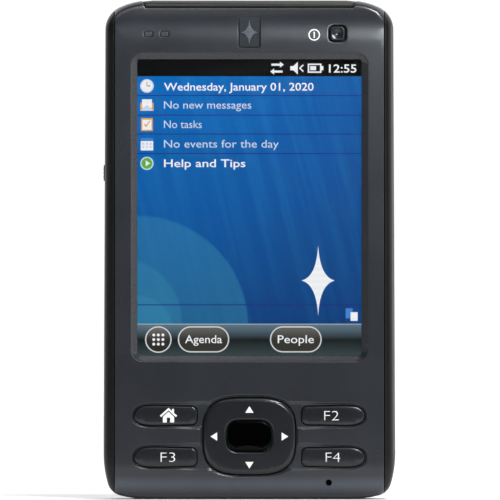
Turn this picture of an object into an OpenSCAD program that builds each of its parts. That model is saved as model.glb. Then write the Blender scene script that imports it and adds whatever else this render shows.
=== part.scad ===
// Pocket computer with a touch screen, four oblong keys and a five-way pad.
// It stands on its lower edge: X runs to the right, Y from the screen to the back, Z up.
// The origin is the middle of the lower edge. All sizes are millimetres.

/* [Body] */
// Overall width
body_w = 70.2; // [69:0.1:72]
// Overall height
body_h = 120; // [119:0.5:122]
// Thickness from the key tops to the back
body_t = 19; // [18.8:0.1:20]
// How far the keys stand proud of the front face
key_proud = 0.3; // [0.2:0.05:0.4]
// Wall thickness of the housings
wall = 1.4; // [1.3:0.1:1.5]
// Half width of the front face, up to the seams beside the side bands
face_half = 32.4; // [32.2:0.1:32.6]
// Gap between two fixed outer pieces
seam = 0.15; // [0.1:0.01:0.2]

/* [Screen] */
// Width of the picture
screen_w = 53.9; // [53:0.1:54.5]
// Height of the picture
screen_h = 71.2; // [70:0.1:71.6]
// Height of the picture's centre
screen_z = 70.2; // [69.8:0.1:70.6]
// Width of the sloped rim around the picture
bezel_slope = 1.55; // [1.2:0.05:1.7]

/* [Keys] */
// Length of an oblong key
key_l = 15; // [14:0.1:15.5]
// Height of an oblong key
key_h = 4.75; // [4.6:0.05:5.2]
// Distance from the centre line to a key's inner end
key_inner = 12.65; // [12.5:0.05:13]
// Height of the upper keys' centres
key_upper_z = 20.15; // [20:0.05:20.6]
// Height of the lower keys' centres
key_lower_z = 10.15; // [10:0.05:10.4]
// Gap around a key
key_gap = 0.25; // [0.2:0.05:0.3]
// How far a key moves when pressed
key_travel = 0.4; // [0.3:0.05:0.4]

/* [Pad] */
// Width of the ring
ring_w = 22.3; // [21.5:0.1:22.5]
// Height of the ring
ring_h = 18.6; // [18:0.1:18.8]
// Height of the ring's centre
ring_z = 15.2; // [15.1:0.1:15.3]
// Gap around the ring
ring_gap = 0.3; // [0.3:0.05:0.4]
// Width of the select button
select_w = 10.6; // [10:0.1:10.8]
// Height of the select button
select_h = 7.1; // [6.8:0.1:7.2]
// Gap around the select button
select_gap = 0.4; // [0.35:0.05:0.5]

/* [Card slot] */
// Width inside the card sleeve
card_w = 43.2; // [43:0.1:43.3]
// Thickness inside the card sleeve
card_t = 5.35; // [5.2:0.05:5.4]
// Half width of the cap strip along its top
cap_half = 25.8; // [25.4:0.1:25.9]
// Height of the cap strip
cap_strip_h = 1.65; // [1.5:0.05:1.8]

/* [Battery] */
// Width of the battery
battery_w = 47.6; // [46:0.1:48]
// Height of the battery
battery_h = 62; // [58:0.5:62.5]
// Thickness of the battery
battery_t = 6.3; // [5.8:0.1:6.4]
// Half width of the battery door
door_half = 27.5; // [27:0.1:27.8]

/* [Stylus] */
// Radius of the stylus barrel
stylus_r = 1.7; // [1.5:0.05:1.75]
// Length of the stylus
stylus_l = 92; // [85:1:93]

/* [Screws] */
// Radius of a screw's shank
screw_r = 0.8; // [0.7:0.05:0.82]
// Radius of a screw's head
screw_head_r = 1.4; // [1.2:0.05:1.42]

/* [Hidden] */
$fn = 48;

// Depth stations, counted from the middle of the thickness: minus is towards the screen.
front_y = -body_t / 2;
back_y = body_t / 2;
face_y = front_y + key_proud;
inner_y = face_y + wall;
part_y = -1;
band_back_y = 3;
gasket_t = 0.2;
panel_y = inner_y + gasket_t;
panel_t = 1.05;
lcd_y = panel_y + panel_t + 0.05;
lcd_t = 2.4;
frame_y = lcd_y + lcd_t + 0.15;
frame_t = 0.8;
board_y = -1.95;
board_t = 1;
switch_board_y = -5.45;
switch_board_t = 0.75;
dome_t = 0.25;
stem_y = switch_board_y - dome_t - key_travel - 0.1;
flange_y = inner_y + 0.15;
flange_t = 0.6;

// Rounding of the front outline: arcs that run into each other, from the lower edge to the top.
flat_half = body_w / 2 - 11.1;
foot_r = 30;
foot_turn = 13.5;
heel_r = 4.25;
heel_turn = 60.5;
flank_r = 25.9;
shoulder_r = 6;
shoulder_lean = 0.25;
brow_r = 17;
brow_turn = 25;
foot_c = [flat_half, foot_r];
heel_c = polar(foot_c, foot_r - heel_r, foot_turn - 90);
flank_c = polar(heel_c, heel_r - flank_r, foot_turn + heel_turn - 90);
brow_c = [flat_half, body_h - brow_r];
shoulder_c = polar(brow_c, brow_r - shoulder_r, 90 - brow_turn);

// Rounding of the side outline.
roll_top_r = 22;
roll_top_turn = 24;
lip_top_r = 2;
roll_foot_r = 20;
roll_foot_turn = 22;
lip_foot_r = 1.8;
back_top_r = 3;
back_foot_r = 3;
edge_front_r = 2.8;
edge_back_r = 3;
roll_top_c = [face_y + roll_top_r,
    body_h - lip_top_r - (roll_top_r - lip_top_r) * sin(roll_top_turn)];
lip_top_c = polar(roll_top_c, roll_top_r - lip_top_r, 180 - roll_top_turn);
roll_foot_c = [face_y + roll_foot_r,
    lip_foot_r + (roll_foot_r - lip_foot_r) * sin(roll_foot_turn)];
lip_foot_c = polar(roll_foot_c, roll_foot_r - lip_foot_r, 180 + roll_foot_turn);

cavity_half = face_half - wall;
cavity_top = body_h - 3.2;

// Keys, counted outwards from the centre line.
key_tail = 5;
key_power = 2.6;
key_corner_r = 1.2;
key_end_h = 0.2;

ring_power = 3.2;
select_r = 2.6;
gimbal_y = -7;
gimbal_t = 0.4;
gimbal_w = 16;
gimbal_h = 13;

power_x = 21.2;
power_z = 112;
power_w = 3.6;
power_h = 3.4;
power_gap = 0.4;
power_flange_y = -7.1;
power_flange_t = 0.4;

led_x = [-24.3, -20.4];
led_z = 111.9;
led_w = 2.2;
led_h = 1.4;

badge_z = 112.3;
badge_w = 4.9;
badge_h = 7.1;

side_button_z = 78.5;
side_button_y = -2.7;
side_button_l = 4;
side_button_w = 2.6;
side_gap = 0.25;

mic_x = 19.1;
mic_z = 4;
mic_hole_r = 0.75;

jack_x = -16;
jack_y = 2.2;
jack_r = 1.8;
jack_l = 12;
jack_floor = 0.7;

sync_y = 1.7;
sync_w = 21;
sync_h = 2.6;

card_y = 2.25;
card_floor = 84;
sleeve_wall = 0.4;
cap_floor = body_h - cap_strip_h - seam;
cap_front_y = -6.2;
cap_back_y = 5.8;
tongue_w = 41;
tongue_t = 4.2;
tongue_l = 7.9;

battery_y = 1.35;
battery_z = 48.5;
bay_gap = 0.6;
bay_wall = 1;
ledge_t = 1.15;
door_t = 1.2;
door_z0 = 10;
door_z1 = 84;
door_gap = 0.2;
door_r = 3;
latch_z = 89.5;
latch_l = 7;
latch_w = 12;
latch_travel = 2.5;

stylus_x = 28.5;
stylus_y = 3.4;
stylus_top = 118.6;
stylus_gap = 0.3;

upper_screw = [24.9, 115];
lower_screw = [27, 4.2];
screw_spots = [upper_screw, [-upper_screw.x, upper_screw.y],
    lower_screw, [-lower_screw.x, lower_screw.y]];
boss_r = 1.6;

speaker_x = -13;
speaker_z = 105;
speaker_r = 7;

charcoal = "#3b4046";
band_dark = "#2a2725";
key_dark = "#2c2e32";
board_green = "#1f5a3a";
steel = "#b9bcc0";

function polar(c, r, a) = [c.x + r * cos(a), c.y + r * sin(a)];
function arc(c, r, a0, a1, n) = [for (i = [0 : n]) polar(c, r, a0 + (a1 - a0) * i / n)];
function mirrored(points) = [for (i = [len(points) - 1 : -1 : 0]) [-points[i].x, points[i].y]];

// Right half of the front outline, set back by inset.
function half_outline(inset) = concat(
    arc(foot_c, foot_r - inset, -90, foot_turn - 90, 3),
    arc(heel_c, heel_r - inset, foot_turn - 90, foot_turn + heel_turn - 90, 6),
    arc(flank_c, flank_r - inset, foot_turn + heel_turn - 90, shoulder_lean, 3),
    arc(shoulder_c, shoulder_r - inset, shoulder_lean, 90 - brow_turn, 7),
    arc(brow_c, brow_r - inset, 90 - brow_turn, 90, 4));

function front_outline(inset) = concat(half_outline(inset), mirrored(half_outline(inset)));

// Side outline as depth and height, set back by inset.
function side_outline(inset) = concat(
    arc([back_y - back_foot_r, back_foot_r], back_foot_r - inset, -90, 0, 6),
    arc([back_y - back_top_r, body_h - back_top_r], back_top_r - inset, 0, 90, 6),
    arc(lip_top_c, lip_top_r - inset, 90, 180 - roll_top_turn, 4),
    arc(roll_top_c, roll_top_r - inset, 180 - roll_top_turn, 180, 5),
    arc(roll_foot_c, roll_foot_r - inset, 180, 180 + roll_foot_turn, 5),
    arc(lip_foot_c, lip_foot_r - inset, 180 + roll_foot_turn, 270, 4));

function half_section(inset) = concat(
    arc([body_w / 2 - edge_front_r, face_y + edge_front_r], edge_front_r - inset, -90, 0, 5),
    arc([body_w / 2 - edge_back_r, back_y - edge_back_r], edge_back_r - inset, 0, 90, 6));

function plan_outline(inset) = concat(half_section(inset), mirrored(half_section(inset)));

function rounded(w, h, r) = concat(
    arc([w / 2 - r, r - h / 2], r, -90, 0, 6),
    arc([w / 2 - r, h / 2 - r], r, 0, 90, 6),
    arc([r - w / 2, h / 2 - r], r, 90, 180, 6),
    arc([r - w / 2, r - h / 2], r, 180, 270, 6));

// Rounded square with flattened sides, like a pad's ring.
function squircle(w, h, power, n) = [for (i = [0 : n - 1]) let (a = 360 * i / n)
    [w / 2 * sign(cos(a)) * pow(abs(cos(a)), 2 / power),
     h / 2 * sign(sin(a)) * pow(abs(sin(a)), 2 / power)]];

// Oblong key: a blunt inner end and a long outer end, fuller than an ellipse.
function key_outline(grow) = concat(
    [for (a = [-90 : 10 : 90])
        [key_inner + key_l - key_tail + (key_tail + grow) * pow(abs(cos(a)), 2 / key_power),
         (key_h / 2 + grow) * sign(a) * pow(abs(sin(a)), 2 / key_power)]],
    arc([key_inner + key_corner_r, key_h / 2 - key_end_h - key_corner_r],
        key_corner_r + grow, 90, 180, 4),
    arc([key_inner + key_corner_r, key_corner_r + key_end_h - key_h / 2],
        key_corner_r + grow, 180, 270, 4));

// A flat shape in X and Z, given a depth from y0 to y1.
module facing(y0, y1) {
    translate([0, y1, 0]) rotate([90, 0, 0]) linear_extrude(y1 - y0) children();
}

// A flat shape in Y and Z, given a width from x0 to x1.
module sideways(x0, x1) {
    translate([x0, 0, 0]) rotate([90, 0, 90]) linear_extrude(x1 - x0) children();
}

module block(x0, x1, y0, y1, z0, z1) {
    translate([x0, y0, z0]) cube([x1 - x0, y1 - y0, z1 - z0]);
}

module peg(x, z, r, y0, y1) {
    translate([x, y1, z]) rotate([90, 0, 0]) cylinder(r = r, h = y1 - y0);
}

// The whole outer form, set back by inset on every side.
module envelope(inset) {
    intersection() {
        facing(front_y, back_y) polygon(front_outline(inset));
        sideways(-body_w / 2, body_w / 2) polygon(side_outline(inset));
        linear_extrude(body_h) polygon(plan_outline(inset));
    }
}

module bezel_cut() {
    rim = bezel_slope / wall;
    out = 1;
    intersection() {
        linear_extrude(body_h)
            polygon([for (s = [[-1, 0], [1, 0], [1, 1], [-1, 1]])
                [s.x * (screen_w / 2 + s.y * rim * (wall + out)), inner_y - s.y * (wall + out)]]);
        sideways(-body_w / 2, body_w / 2)
            polygon([for (s = [[0, -1], [0, 1], [1, 1], [1, -1]])
                [inner_y - s.x * (wall + out),
                 screen_z + s.y * (screen_h / 2 + s.x * rim * (wall + out))]]);
    }
    facing(inner_y - 0.1, inner_y + 0.1) translate([0, screen_z]) square([screen_w, screen_h], true);
}

module at_key(side, z) {
    mirror([side < 0 ? 1 : 0, 0, 0]) translate([0, 0, z]) children();
}

module for_keys() {
    for (side = [-1, 1], z = [key_upper_z, key_lower_z]) at_key(side, z) children();
}

module cap_outline(grow) {
    lean = 0.5 * (cap_strip_h + grow);
    polygon([[-cap_half + lean - grow, cap_floor + seam - grow], [cap_half - lean + grow, cap_floor + seam - grow],
        [cap_half + grow, body_h], [cap_half + grow, body_h + 1],
        [-cap_half - grow, body_h + 1], [-cap_half - grow, body_h]]);
}

module cap_recess() {
    facing(cap_front_y - seam, cap_back_y + seam) cap_outline(seam);
}

module card_mouth() {
    block(-card_w / 2, card_w / 2, card_y - card_t / 2, card_y + card_t / 2, cavity_top - 1, body_h);
}

module front_housing() color(charcoal) {
    difference() {
        union() {
            difference() {
                intersection() {
                    envelope(0);
                    block(-face_half, face_half, front_y, part_y, 0, body_h);
                }
                intersection() {
                    envelope(wall);
                    block(-cavity_half, cavity_half, front_y, part_y + 1, 0, cavity_top);
                }
            }
            for (s = screw_spots) peg(s.x, s.y, boss_r, inner_y - 0.2, part_y);
        }
        bezel_cut();
        for_keys() facing(front_y - 1, inner_y + 1) polygon(key_outline(key_gap));
        translate([0, 0, ring_z]) facing(front_y - 1, inner_y + 1)
            polygon(squircle(ring_w + 2 * ring_gap, ring_h + 2 * ring_gap, ring_power, 48));
        translate([power_x, 0, power_z]) facing(front_y - 1, inner_y + 1)
            polygon(rounded(power_w + 2 * power_gap, power_h + 2 * power_gap, 1.2));
        for (x = led_x) translate([x, 0, led_z]) facing(front_y - 1, inner_y + 1)
            polygon(rounded(led_w, led_h, 0.5));
        translate([0, 0, badge_z]) facing(front_y - 1, inner_y - 0.5)
            polygon(rounded(badge_w + 0.4, badge_h + 0.4, 0.4));
        peg(mic_x, mic_z, mic_hole_r, front_y - 1, inner_y + 3);
        for (s = screw_spots) peg(s.x, s.y, screw_r + 0.1, part_y - 4.5, part_y + 1);
        block(-face_half - 1, -cavity_half + 1, side_button_y - 0.8, side_button_y + 0.8,
            side_button_z - 0.9, side_button_z + 0.9);
        cap_recess();
    }
}

module door_outline(grow) {
    translate([0, (door_z0 + door_z1) / 2])
        polygon(rounded(2 * (door_half + grow), door_z1 - door_z0 + 2 * grow, door_r + grow));
}

module bay(grow, y0, y1) {
    facing(y0, y1) translate([0, battery_z])
        square([battery_w + 2 * grow, battery_h + 2 * grow], true);
}

module rear_shell() {
    difference() {
        intersection() {
            envelope(0);
            union() {
                block(-face_half, face_half, part_y + 0.1, back_y, 0, body_h);
                block(-body_w, body_w, band_back_y + seam, back_y, 0, body_h);
            }
        }
        intersection() {
            envelope(wall + 0.1);
            block(-cavity_half, cavity_half, part_y - 1, back_y, 0, cavity_top);
        }
    }
    // Thick back behind the door and the latch
    facing(back_y - door_t - 0.1 - ledge_t, back_y - 1)
        translate([0, (door_z0 + 96.2) / 2]) square([2 * door_half + 2, 97.4 - door_z0], true);
    bay(bay_gap + bay_wall, battery_y - 0.9, back_y - 1);
    for (s = screw_spots) peg(s.x, s.y, boss_r, part_y + 0.1, back_y - 1);
}

module speaker_grille() {
    for (ring = [0 : 2], k = [0 : max(0, 6 * ring - 1)]) {
        a = ring == 0 ? 0 : 360 * k / (6 * ring);
        peg(speaker_x + 2.1 * ring * cos(a), speaker_z + 2.1 * ring * sin(a), 0.5,
            back_y - 3, back_y + 1);
    }
}

module rear_housing() color(charcoal) {
    difference() {
        rear_shell();
        bay(bay_gap, battery_y - 0.3, back_y + 1);
        facing(back_y - door_t - 0.1, back_y + 1) door_outline(door_gap);
        block(-7, 7, part_y, battery_y, 69, 76);
        block(-latch_w / 2 - 0.4, latch_w / 2 + 0.4, back_y - door_t, back_y + 1,
            latch_z - latch_l / 2 - 0.4, latch_z + latch_l / 2 + latch_travel + 0.5);
        for (s = screw_spots) {
            peg(s.x, s.y, screw_r + 0.1, part_y - 1, back_y);
            peg(s.x, s.y, screw_head_r + 0.1, back_y - 1.2, back_y + 1);
        }
        cap_recess();
        card_mouth();
        translate([stylus_x, stylus_y, cavity_top - 1]) cylinder(r = stylus_r + stylus_gap, h = 6);
        translate([jack_x, jack_y, -1]) cylinder(r = 2.6, h = 1.9 + jack_floor);
        block(-sync_w / 2, sync_w / 2, sync_y - sync_h / 2, sync_y + sync_h / 2, -1, 3);
        speaker_grille();
    }
}

module side_band() {
    intersection() {
        envelope(0);
        block(face_half + seam, body_w, front_y, band_back_y, 0, body_h);
    }
}

module left_side_band() color(band_dark) {
    difference() {
        mirror([1, 0, 0]) side_band();
        block(-body_w, 0, side_button_y - side_button_w / 2 - side_gap,
            side_button_y + side_button_w / 2 + side_gap,
            side_button_z - side_button_l / 2 - side_gap,
            side_button_z + side_button_l / 2 + side_gap);
        // Cord notch under the button
        block(-body_w, -body_w / 2 + 0.9, side_button_y - 0.8, side_button_y + 0.8, 74.2, 75.4);
    }
}

module right_side_band() color(band_dark) {
    side_band();
}

module display_gasket() color("#141414") {
    facing(inner_y, inner_y + gasket_t) translate([0, screen_z]) difference() {
        square([screen_w + 4.6, screen_h + 4.6], true);
        square([screen_w + 0.8, screen_h + 0.8], true);
    }
}

module touch_panel() color("#0b0d10", 0.6) {
    facing(panel_y, panel_y + panel_t) translate([0, screen_z])
        polygon(rounded(screen_w + 4.8, screen_h + 4.8, 0.8));
}

module lcd_module() color("#1b1d20") {
    facing(lcd_y, lcd_y + lcd_t) translate([0, screen_z])
        square([screen_w + 3.4, screen_h + 4.2], true);
}

module mid_frame() color("#8d9196") {
    rail_half = screen_w / 2 + 2.7;
    difference() {
        union() {
            facing(frame_y, frame_y + frame_t) translate([0, (cavity_top + 2.6) / 2])
                square([2 * (rail_half + 0.8), cavity_top - 3.2], true);
            for (side = [-1, 1]) mirror([side < 0 ? 1 : 0, 0, 0])
                block(rail_half, rail_half + 0.8, panel_y + 0.1, frame_y + 0.1, 32, 108);
        }
        for (s = screw_spots) peg(s.x, s.y, boss_r + 0.3, front_y, back_y);
        block(-body_w / 2, -28.4, frame_y - 4, frame_y + 2, side_button_z - 3, side_button_z + 3);
    }
}

module main_board() color(board_green) {
    difference() {
        facing(board_y, board_y + board_t) translate([0, (cavity_top + 2.6) / 2])
            square([59, cavity_top - 3.4], true);
        for (s = screw_spots) peg(s.x, s.y, boss_r + 0.3, front_y, back_y);
        block(-body_w / 2, -28.4, board_y - 1, board_y + 2, side_button_z - 3, side_button_z + 3);
    }
}

module shield_can() color(steel) {
    facing(frame_y + frame_t + 0.1, board_y) translate([-6, 70]) square([28, 30], true);
}

module backup_cell() color(steel) {
    peg(18, 70, 5, frame_y + frame_t + 0.1, board_y);
}

module keypad_board() color(board_green) {
    facing(switch_board_y, switch_board_y + switch_board_t) translate([0, 15.6])
        square([58, 18.2], true);
}

module indicator_board() color(board_green) {
    facing(switch_board_y, switch_board_y + switch_board_t) translate([0, 111.3])
        square([55, 3.6], true);
}

// A switch dome is a low cone with a flat top, facing the key.
module dome(x, z, r) {
    translate([x, switch_board_y, z]) rotate([90, 0, 0]) cylinder(r1 = r, r2 = r / 2, h = dome_t);
}

module dome_switches() color(steel) {
    key_mid = key_inner + key_l / 2;
    for (side = [-1, 1], z = [key_upper_z, key_lower_z]) dome(side * key_mid, z, 1.9);
    for (side = [-1, 1]) {
        dome(side * 8.2, ring_z, 1.6);
        dome(0, ring_z + side * 6.6, 1.6);
    }
    dome(0, ring_z, 1.9);
    dome(power_x, power_z - 0.8, 1);
}

// A key cap with its flange behind the wall and its stem, counted outwards on the right.
module key_solid() {
    facing(front_y, flange_y) polygon(key_outline(0));
    facing(flange_y, flange_y + flange_t) polygon(key_outline(key_gap + 0.35));
    peg(key_inner + key_l / 2, 0, 1, flange_y + flange_t, stem_y);
}

module key_home() color(key_dark) {
    at_key(-1, key_upper_z) key_solid();
}

module key_f2() color(key_dark) {
    at_key(1, key_upper_z) key_solid();
}

module key_f3() color(key_dark) {
    at_key(-1, key_lower_z) key_solid();
}

module key_f4() color(key_dark) {
    at_key(1, key_lower_z) key_solid();
}

// A thin plate with a pair of pivot pins across and a pair upright.
module nav_gimbal() color(steel) {
    translate([0, 0, ring_z]) {
        facing(gimbal_y, gimbal_y + gimbal_t) difference() {
            polygon(rounded(gimbal_w, gimbal_h, 2));
            polygon(rounded(select_w + 2 * select_gap, select_h + 2 * select_gap, select_r));
        }
        for (side = [-1, 1]) {
            translate([side * gimbal_w / 2, gimbal_y + gimbal_t / 2, 0]) rotate([0, 90, 0])
                cylinder(r = gimbal_t / 2, h = 1.4, center = true);
            translate([0, gimbal_y + gimbal_t / 2, side * gimbal_h / 2])
                cylinder(r = gimbal_t / 2, h = 1.4, center = true);
        }
    }
}

module nav_ring() color(key_dark) {
    translate([0, 0, ring_z]) facing(front_y, gimbal_y - 0.45) difference() {
        polygon(squircle(ring_w, ring_h, ring_power, 48));
        polygon(rounded(select_w + 2 * select_gap, select_h + 2 * select_gap,
            select_r + select_gap));
    }
}

module select_button() color("#101215") {
    translate([0, 0, ring_z]) {
        facing(front_y + 0.1, gimbal_y + gimbal_t + 0.3)
            polygon(rounded(select_w, select_h, select_r));
        peg(0, 0, 1, gimbal_y + gimbal_t + 0.3, stem_y);
    }
}

module power_button() color(key_dark) {
    translate([power_x, 0, power_z]) {
        facing(face_y, power_flange_y) polygon(rounded(power_w, power_h, 0.9));
        facing(power_flange_y, power_flange_y + power_flange_t)
            polygon(rounded(power_w + 0.9, power_h + 0.9, 0.9));
        peg(0, -0.8, 0.7, power_flange_y + power_flange_t, stem_y);
    }
}

module side_button() color(key_dark) {
    sideways(-body_w / 2, -face_half - 0.6) translate([side_button_y, side_button_z])
        polygon(rounded(side_button_w, side_button_l, 0.8));
    block(-face_half - 0.6, -cavity_half + 0.4, side_button_y - 0.55, side_button_y + 0.55,
        side_button_z - 0.65, side_button_z + 0.65);
}

module side_switch() color(steel) {
    block(-cavity_half + 1, -28.7, side_button_y - 0.7, side_button_y + 0.9,
        side_button_z - 2, side_button_z + 2);
}

module led_light_pipes() color("#a9adb0") {
    for (x = led_x) translate([x, 0, led_z]) facing(face_y + 0.25, switch_board_y - 0.5)
        polygon(rounded(led_w - 0.1, led_h - 0.1, 0.45));
    facing(inner_y + 0.4, inner_y + 1) translate([(led_x[0] + led_x[1]) / 2, led_z])
        square([led_x[1] - led_x[0], 0.9], true);
}

module badge_plate() color("#4a4f56") {
    translate([0, 0, badge_z]) facing(inner_y - 1, inner_y - 0.5)
        polygon(rounded(badge_w, badge_h, 0.3));
}

module microphone() color(steel) {
    peg(mic_x, mic_z, 2, -6.4, -5);
}

module speaker() color("#2b2b2b") {
    difference() {
        peg(speaker_x, speaker_z, speaker_r, back_y - 3.7, back_y - wall - 0.2);
        peg(speaker_x, speaker_z, speaker_r - 1, back_y - 2.2, back_y);
    }
}

module headset_jack() color("#202020") {
    difference() {
        block(jack_x - 3, jack_x + 3, jack_y - 3, jack_y + 3, 1.7, 1.7 + jack_l + 1);
        translate([jack_x, jack_y, 1]) cylinder(r = jack_r, h = jack_floor + jack_l);
    }
}

module sync_connector() color(steel) {
    difference() {
        block(-sync_w / 2 - 0.9, sync_w / 2 + 0.9, sync_y - 2.2, sync_y + 2.2, 1.7, 8);
        block(-sync_w / 2 + 0.4, sync_w / 2 - 0.4, sync_y - 1, sync_y + 1, 1, 6.5);
    }
    block(-sync_w / 2 + 1.5, sync_w / 2 - 1.5, sync_y - 0.3, sync_y + 0.3, 1.9, 6.5);
}

module card_slot() color(steel) {
    difference() {
        block(-card_w / 2 - sleeve_wall, card_w / 2 + sleeve_wall, card_y - card_t / 2 - sleeve_wall,
            card_y + card_t / 2 + sleeve_wall, card_floor - 1.6, cavity_top - 0.1);
        block(-card_w / 2, card_w / 2, card_y - card_t / 2, card_y + card_t / 2,
            card_floor, cavity_top + 1);
    }
}

module slot_cap() color("#4a4a44") {
    intersection() {
        facing(cap_front_y, cap_back_y) cap_outline(0);
        envelope(0);
    }
    block(-tongue_w / 2, tongue_w / 2, card_y - tongue_t / 2, card_y + tongue_t / 2,
        cap_floor + seam - tongue_l, cap_floor + seam);
}

module stylus() color("#26282b") {
    tip_l = 7;
    translate([stylus_x, stylus_y, stylus_top - stylus_l]) rotate_extrude()
        polygon([[0, 0], [0.5, 0], [stylus_r, tip_l], [stylus_r, stylus_l - 0.5],
            [stylus_r - 0.5, stylus_l], [0, stylus_l]]);
}

module stylus_tube() color("#3a3a3a") {
    translate([stylus_x, stylus_y, stylus_top - stylus_l - 1.4]) difference() {
        cylinder(r = stylus_r + stylus_gap + 0.4, h = 81);
        translate([0, 0, 1]) cylinder(r = stylus_r + stylus_gap, h = 81);
    }
}

module battery() color("#3d4250") {
    facing(battery_y, battery_y + battery_t) translate([0, battery_z])
        polygon(rounded(battery_w, battery_h, 1.5));
}

module battery_contacts() color("#c9a64a") {
    difference() {
        block(-6, 6, board_y + board_t, battery_y - 0.2, 70, 75);
        for (k = [-1.5 : 1.5]) block(k * 2.6 - 0.5, k * 2.6 + 0.5, battery_y - 1, battery_y, 71, 74);
    }
}

module battery_door() color(charcoal) {
    facing(back_y - door_t, back_y) door_outline(0);
}

module door_latch() color(key_dark) {
    facing(back_y - door_t + 0.15, back_y - 0.3) translate([0, latch_z])
        polygon(rounded(latch_w, latch_l, 1));
    for (k = [-1 : 1]) block(-4, 4, back_y - 0.3, back_y, latch_z + 1.8 * k - 0.4, latch_z + 1.8 * k + 0.4);
}

module wlan_antenna() color("#c98f4a") {
    block(-30, -23.5, back_y - 3.6, back_y - 2.9, 98, 110);
}

module case_screws() color(steel) {
    for (s = screw_spots) {
        peg(s.x, s.y, screw_r, part_y - 4, back_y - 1.2);
        difference() {
            peg(s.x, s.y, screw_head_r, back_y - 1.2, back_y - 0.35);
            for (turn = [0, 90]) translate([s.x, back_y - 0.5, s.y]) rotate([0, turn, 0])
                cube([1.6, 0.7, 0.3], true);
        }
    }
}

front_housing();
rear_housing();
left_side_band();
right_side_band();
display_gasket();
touch_panel();
lcd_module();
mid_frame();
main_board();
shield_can();
backup_cell();
keypad_board();
indicator_board();
dome_switches();
key_home();
key_f2();
key_f3();
key_f4();
nav_gimbal();
nav_ring();
select_button();
power_button();
side_button();
side_switch();
led_light_pipes();
badge_plate();
microphone();
speaker();
headset_jack();
sync_connector();
card_slot();
slot_cap();
stylus();
stylus_tube();
battery();
battery_contacts();
battery_door();
door_latch();
wlan_antenna();
case_screws();
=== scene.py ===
import math
from collections import namedtuple

import bmesh
import bpy
import numpy as np
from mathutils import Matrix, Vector
from mathutils.geometry import delaunay_2d_cdt


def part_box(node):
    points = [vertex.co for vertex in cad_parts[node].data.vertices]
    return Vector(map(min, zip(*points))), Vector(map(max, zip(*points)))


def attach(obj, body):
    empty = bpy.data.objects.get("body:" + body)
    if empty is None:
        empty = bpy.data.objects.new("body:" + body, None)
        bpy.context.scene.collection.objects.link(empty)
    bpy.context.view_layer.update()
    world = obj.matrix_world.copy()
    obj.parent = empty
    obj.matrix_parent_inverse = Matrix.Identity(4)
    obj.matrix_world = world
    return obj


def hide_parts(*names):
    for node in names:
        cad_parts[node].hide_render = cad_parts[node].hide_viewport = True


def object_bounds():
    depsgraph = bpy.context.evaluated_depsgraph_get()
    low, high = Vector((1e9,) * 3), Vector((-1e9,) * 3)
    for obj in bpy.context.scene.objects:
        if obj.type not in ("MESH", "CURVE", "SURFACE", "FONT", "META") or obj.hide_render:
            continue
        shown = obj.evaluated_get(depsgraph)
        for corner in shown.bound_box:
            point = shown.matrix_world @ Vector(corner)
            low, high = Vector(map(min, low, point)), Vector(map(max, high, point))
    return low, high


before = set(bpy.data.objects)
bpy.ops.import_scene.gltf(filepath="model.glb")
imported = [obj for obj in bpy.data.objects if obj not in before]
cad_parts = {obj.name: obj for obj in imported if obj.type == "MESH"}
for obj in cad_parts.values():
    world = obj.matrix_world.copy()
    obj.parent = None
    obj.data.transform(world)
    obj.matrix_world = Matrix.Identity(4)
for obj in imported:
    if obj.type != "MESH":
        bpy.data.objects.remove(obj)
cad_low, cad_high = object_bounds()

# Lengths are millimetres, as X (right), Y (from the screen to the back) and Z (up).
# They become metres where a mesh is made.
MM = 0.001

# ---- sizes from the frame


def mid(a, b):
    return (a + b) / 2


Triple = namedtuple("Triple", "x y z")


class Box:
    """A node's box: its two corners, its middle and its size."""

    def __init__(self, node):
        low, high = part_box(node)
        self.low, self.high = low / MM, high / MM
        self.mid = Triple(*(mid(a, b) for a, b in zip(self.low, self.high)))
        self.size = Triple(*(b - a for a, b in zip(self.low, self.high)))


BODY_W = (cad_high.x - cad_low.x) / MM
BODY_H = (cad_high.z - cad_low.z) / MM
TOP_Y = cad_low.y / MM
BACK_Y = cad_high.y / MM
FACE_Y = Box("front_housing").low.y
PART_Y = Box("front_housing").high.y
FACE_HALF = Box("front_housing").high.x
BAND_BACK_Y = Box("left_side_band").high.y
PANEL = Box("touch_panel")
RING = Box("nav_ring")
SELECT = Box("select_button")
POWER = Box("power_button")
DOOR = Box("battery_door")
LATCH = Box("door_latch")
BATTERY = Box("battery")
CAP = Box("slot_cap")
STYLUS = Box("stylus")
SIDE = Box("side_button")
PLATE = Box("badge_plate")
LED = Box("led_light_pipes")
SLOT_Y = Box("card_slot").mid.y
INNER_Y = Box("display_gasket").low.y
REAR_Y = PART_Y + 0.1
SEAM = 0.15

SCREEN_W, SCREEN_H = 53.9, 71.2
SCREEN_Z = PANEL.mid.z
SCREEN_LEFT = -SCREEN_W / 2
SCREEN_TOP = SCREEN_Z + SCREEN_H / 2
PICTURE_Y = Box("lcd_module").low.y - 0.01
LAYER = 0.012
RIM = 1.55
RING_Z = RING.mid.z
RING_W = RING.size.x
RING_H = RING.size.z
RING_POWER, RING_GAP = 3.2, 0.3
SELECT_W = SELECT.size.x
SELECT_H = SELECT.size.z
SELECT_R, SELECT_GAP = 2.6, 0.4
KEY_INNER, KEY_L, KEY_H = 12.65, 15.0, 4.75
KEY_TAIL, KEY_POWER = 5.0, 2.6
KEY_CORNER, KEY_END, KEY_GAP = 1.2, 0.2, 0.25
UPPER_Z = Box("key_f2").mid.z
LOWER_Z = Box("key_f4").mid.z
KEYS = {"key_home": (-1, UPPER_Z), "key_f2": (1, UPPER_Z), "key_f3": (-1, LOWER_Z), "key_f4": (1, LOWER_Z)}
CHANNEL_DEPTH = 0.3
POWER_X = POWER.mid.x
POWER_Z = POWER.mid.z
POWER_W, POWER_H, POWER_GAP = 3.6, 3.4, 0.4
SIDE_Y = SIDE.mid.y
SIDE_Z = SIDE.mid.z
SIDE_STEM_X = -FACE_HALF - 0.6
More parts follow.
